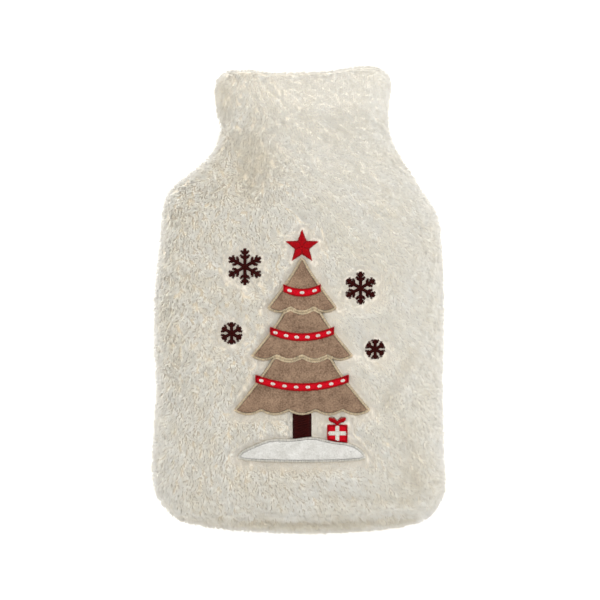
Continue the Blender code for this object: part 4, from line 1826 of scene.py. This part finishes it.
            # Each row is broken once, never twice running at the same place.
            share = 0.25 + 0.5 * (i * GOLDEN % 1.0)
            cuts = np.array((low[0] - over, low[0] + share * (high[0] - low[0]), high[0] + over))
            middle = np.column_stack([(cuts[1:] + cuts[:-1]) / 2, np.full(2, y)])
            for j in np.flatnonzero(outline.away(middle) < 0.1 * MM):
                starts.append((cuts[j], y))
                ends.append((cuts[j + 1], y))
        work.threads(np.array(starts), np.array(ends))
        self.stitched.append(dress(work.piece(), BROWN, "brown_satin"))

    def stitch_ribbon(self, heights: Heights, rng: np.random.Generator) -> None:
        """Fill the parcel's ribbon, and tie a red bow on its lid.

        Args:
            heights: What the thread lies on.
            rng: Seeded random numbers.
        """
        work = Embroidery("gift_ribbon_satin", IVORY, heights, rng)
        low, high = (np.array(v[:2]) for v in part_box("gift_ribbon"))
        centre = (low + high) / 2
        work.column(np.array([(low[0], centre[1]), (high[0], centre[1])]), self.ribbon)
        work.column(np.array([(centre[0], low[1]), (centre[0], high[1])]), self.ribbon)
        self.stitched.append(dress(work.piece(), IVORY, "white_satin"))
        bow = Embroidery("gift_bow", RED, heights, rng, crown=0.6 * MM)
        knot = np.array((centre[0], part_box("gift_box")[1][1] + 0.9 * MM))
        for side in (-1, 1):
            share = np.linspace(0, 1, 15)
            path = knot + np.column_stack([side * share * 6.2, 3.4 * np.sin(share * 1.9)]) * MM
            bow.column(path, (0.7 + 1.5 * np.sin(share * math.pi * 0.86)) * MM)
        bow.column(knot + np.array([(0, -1.2), (0, 1.3)]) * MM, 1.2 * MM)
        self.stitched.append(dress(bow.piece(), RED, "red_satin"))

    def stitch_flake(self, flake: tuple, heights: Heights, rng: np.random.Generator) -> None:
        """Fill a snowflake's arms and twigs with stitches across each.

        Args:
            flake: Its row of the table.
            heights: What the thread lies on.
            rng: Seeded random numbers.
        """
        node, x, y, radius, twigs = flake
        work = Embroidery(f"{node}_satin", BROWN, heights, rng)
        centre = np.array((x, y)) * MM + MOTIF
        for k in range(6):
            angle = 90 + 60 * k
            work.column(bent(centre, angle, 0.6 * MM, (radius - 0.3) * MM), self.arm)
            for start, length in twigs:
                root = bent(centre, angle, 0, (start + 1.0) * MM)[-1]
                for lean in (-60, 60):
                    path = bent(root, angle + lean, 0.9 * MM, (length + 1.5) * MM)
                    work.column(path, self.twig)
        self.stitched.append(dress(work.piece(), BROWN, "brown_satin"))


# ---------------------------------------------------------------- studio


@dataclass(frozen=True)
class Lamp:
    """A square soft light that is aimed at the cover."""

    name: str
    place: tuple[float, float, float]
    size: float
    power: float
    colour: tuple[float, float, float] = (0.985, 0.992, 1.0)

    def hang(self) -> None:
        """Put it in its place."""
        light = bpy.data.lights.new(self.name, "AREA")
        light.energy, light.size, light.color = self.power, self.size, self.colour
        lamp = bpy.data.objects.new(self.name, light)
        lamp.location = self.place
        lamp.rotation_euler = (-Vector(self.place)).to_track_quat("-Z", "Y").to_euler()
        bpy.context.scene.collection.objects.link(lamp)


@dataclass
class Studio:
    """A white sweep, a large soft key from the upper right, a weak fill, and the camera."""

    frame_width: float = 0.456  # what the picture shows at the height of the side seam
    distance: float = 2.2
    seam_height: float = 0.02
    middle: tuple[float, float] = (0.00076, 0.0)
    floor_size: float = 9.0
    floor_below: float = 0.2 * MM
    # Light that the room gives back is a little warmer than the lamps, so shade turns creamy.
    room_colour: Colour = (1.0, 0.994, 0.982, 1.0)
    room_light: float = 1.19
    key: Lamp = Lamp("key_light", (1.2, 0.7, 1.0), size=2.3, power=14.2)
    fill: Lamp = Lamp("fill_light", (-1.25, 0.45, 0.6), size=1.2, power=4.3)

    def build(self) -> None:
        """Make the floor, the lights and the camera."""
        bpy.ops.object.select_all(action="DESELECT")
        bpy.ops.mesh.primitive_plane_add(size=self.floor_size, location=(0, 0, -self.floor_below))
        floor = bpy.context.object
        floor.name = "sweep"
        floor.data.materials.append(SWEEP.material())
        world = bpy.data.worlds.new("white_room")
        world.use_nodes = True
        room = world.node_tree.nodes["Background"]
        room.inputs["Color"].default_value = self.room_colour
        room.inputs["Strength"].default_value = self.room_light
        bpy.context.scene.world = world
        self.key.hang()
        self.fill.hang()
        self.camera()
        view = bpy.context.scene.view_settings
        view.view_transform = "Standard"
        view.look = "None"
        view.exposure = 0.0

    def camera(self) -> None:
        """Hang the camera straight over the cover, with its mouth to the top of the picture."""
        lens = bpy.data.cameras.new("camera")
        lens.sensor_width = 36.0
        lens.lens = lens.sensor_width * self.distance / self.frame_width
        camera = bpy.data.objects.new("camera", lens)
        camera.location = (*self.middle, self.seam_height + self.distance)
        bpy.context.scene.collection.objects.link(camera)
        bpy.context.scene.camera = camera


# ---------------------------------------------------------------- the cover


def main() -> None:
    """Build the cover in order."""
    logging.basicConfig(level=logging.INFO, format="%(name)s %(message)s")
    rng = np.random.default_rng(20)
    applique = Applique()
    applique.cloth(rng)
    applique.bases()

    low = [patch.outline for patch in (*applique.plush, applique.parcel)]
    low += [Outline.of_node(node) for node in applique.padding if node != "gift_ribbon"]
    pile = Pile(outlines=low)
    front = FleecePanel(
        "front_panel",
        Facing.UP,
        "front_fleece",
        pile_names=("front_pile_lower", "front_pile_middle", "front_pile_upper"),
        spacing=0.94 * MM,
    )
    back = FleecePanel(
        "back_panel",
        Facing.DOWN,
        "back_fleece",
        pile_names=("back_pile",),
        spacing=1.95 * MM,
        floor=0.0,
    )
    front.build(pile, rng)
    back.build(pile, rng)

    under_felt = [Skin.of_node("front_panel", Facing.UP, 1)]
    under_felt += [Skin(patch.piece) for patch in applique.plush]
    on_top = [Skin(patch.piece) for patch in applique.felt]
    on_top += [Skin(piece) for piece in applique.padding.values()]
    applique.embroider(Heights([*under_felt, *on_top]), Heights(under_felt), rng)

    for patch, nap in zip(applique.plush, applique.naps, strict=True):
        patch.declare(front.cloth, [nap])
    applique.parcel.declare(front.cloth, [])
    Studio().build()


if __name__ == "__main__":
    main()
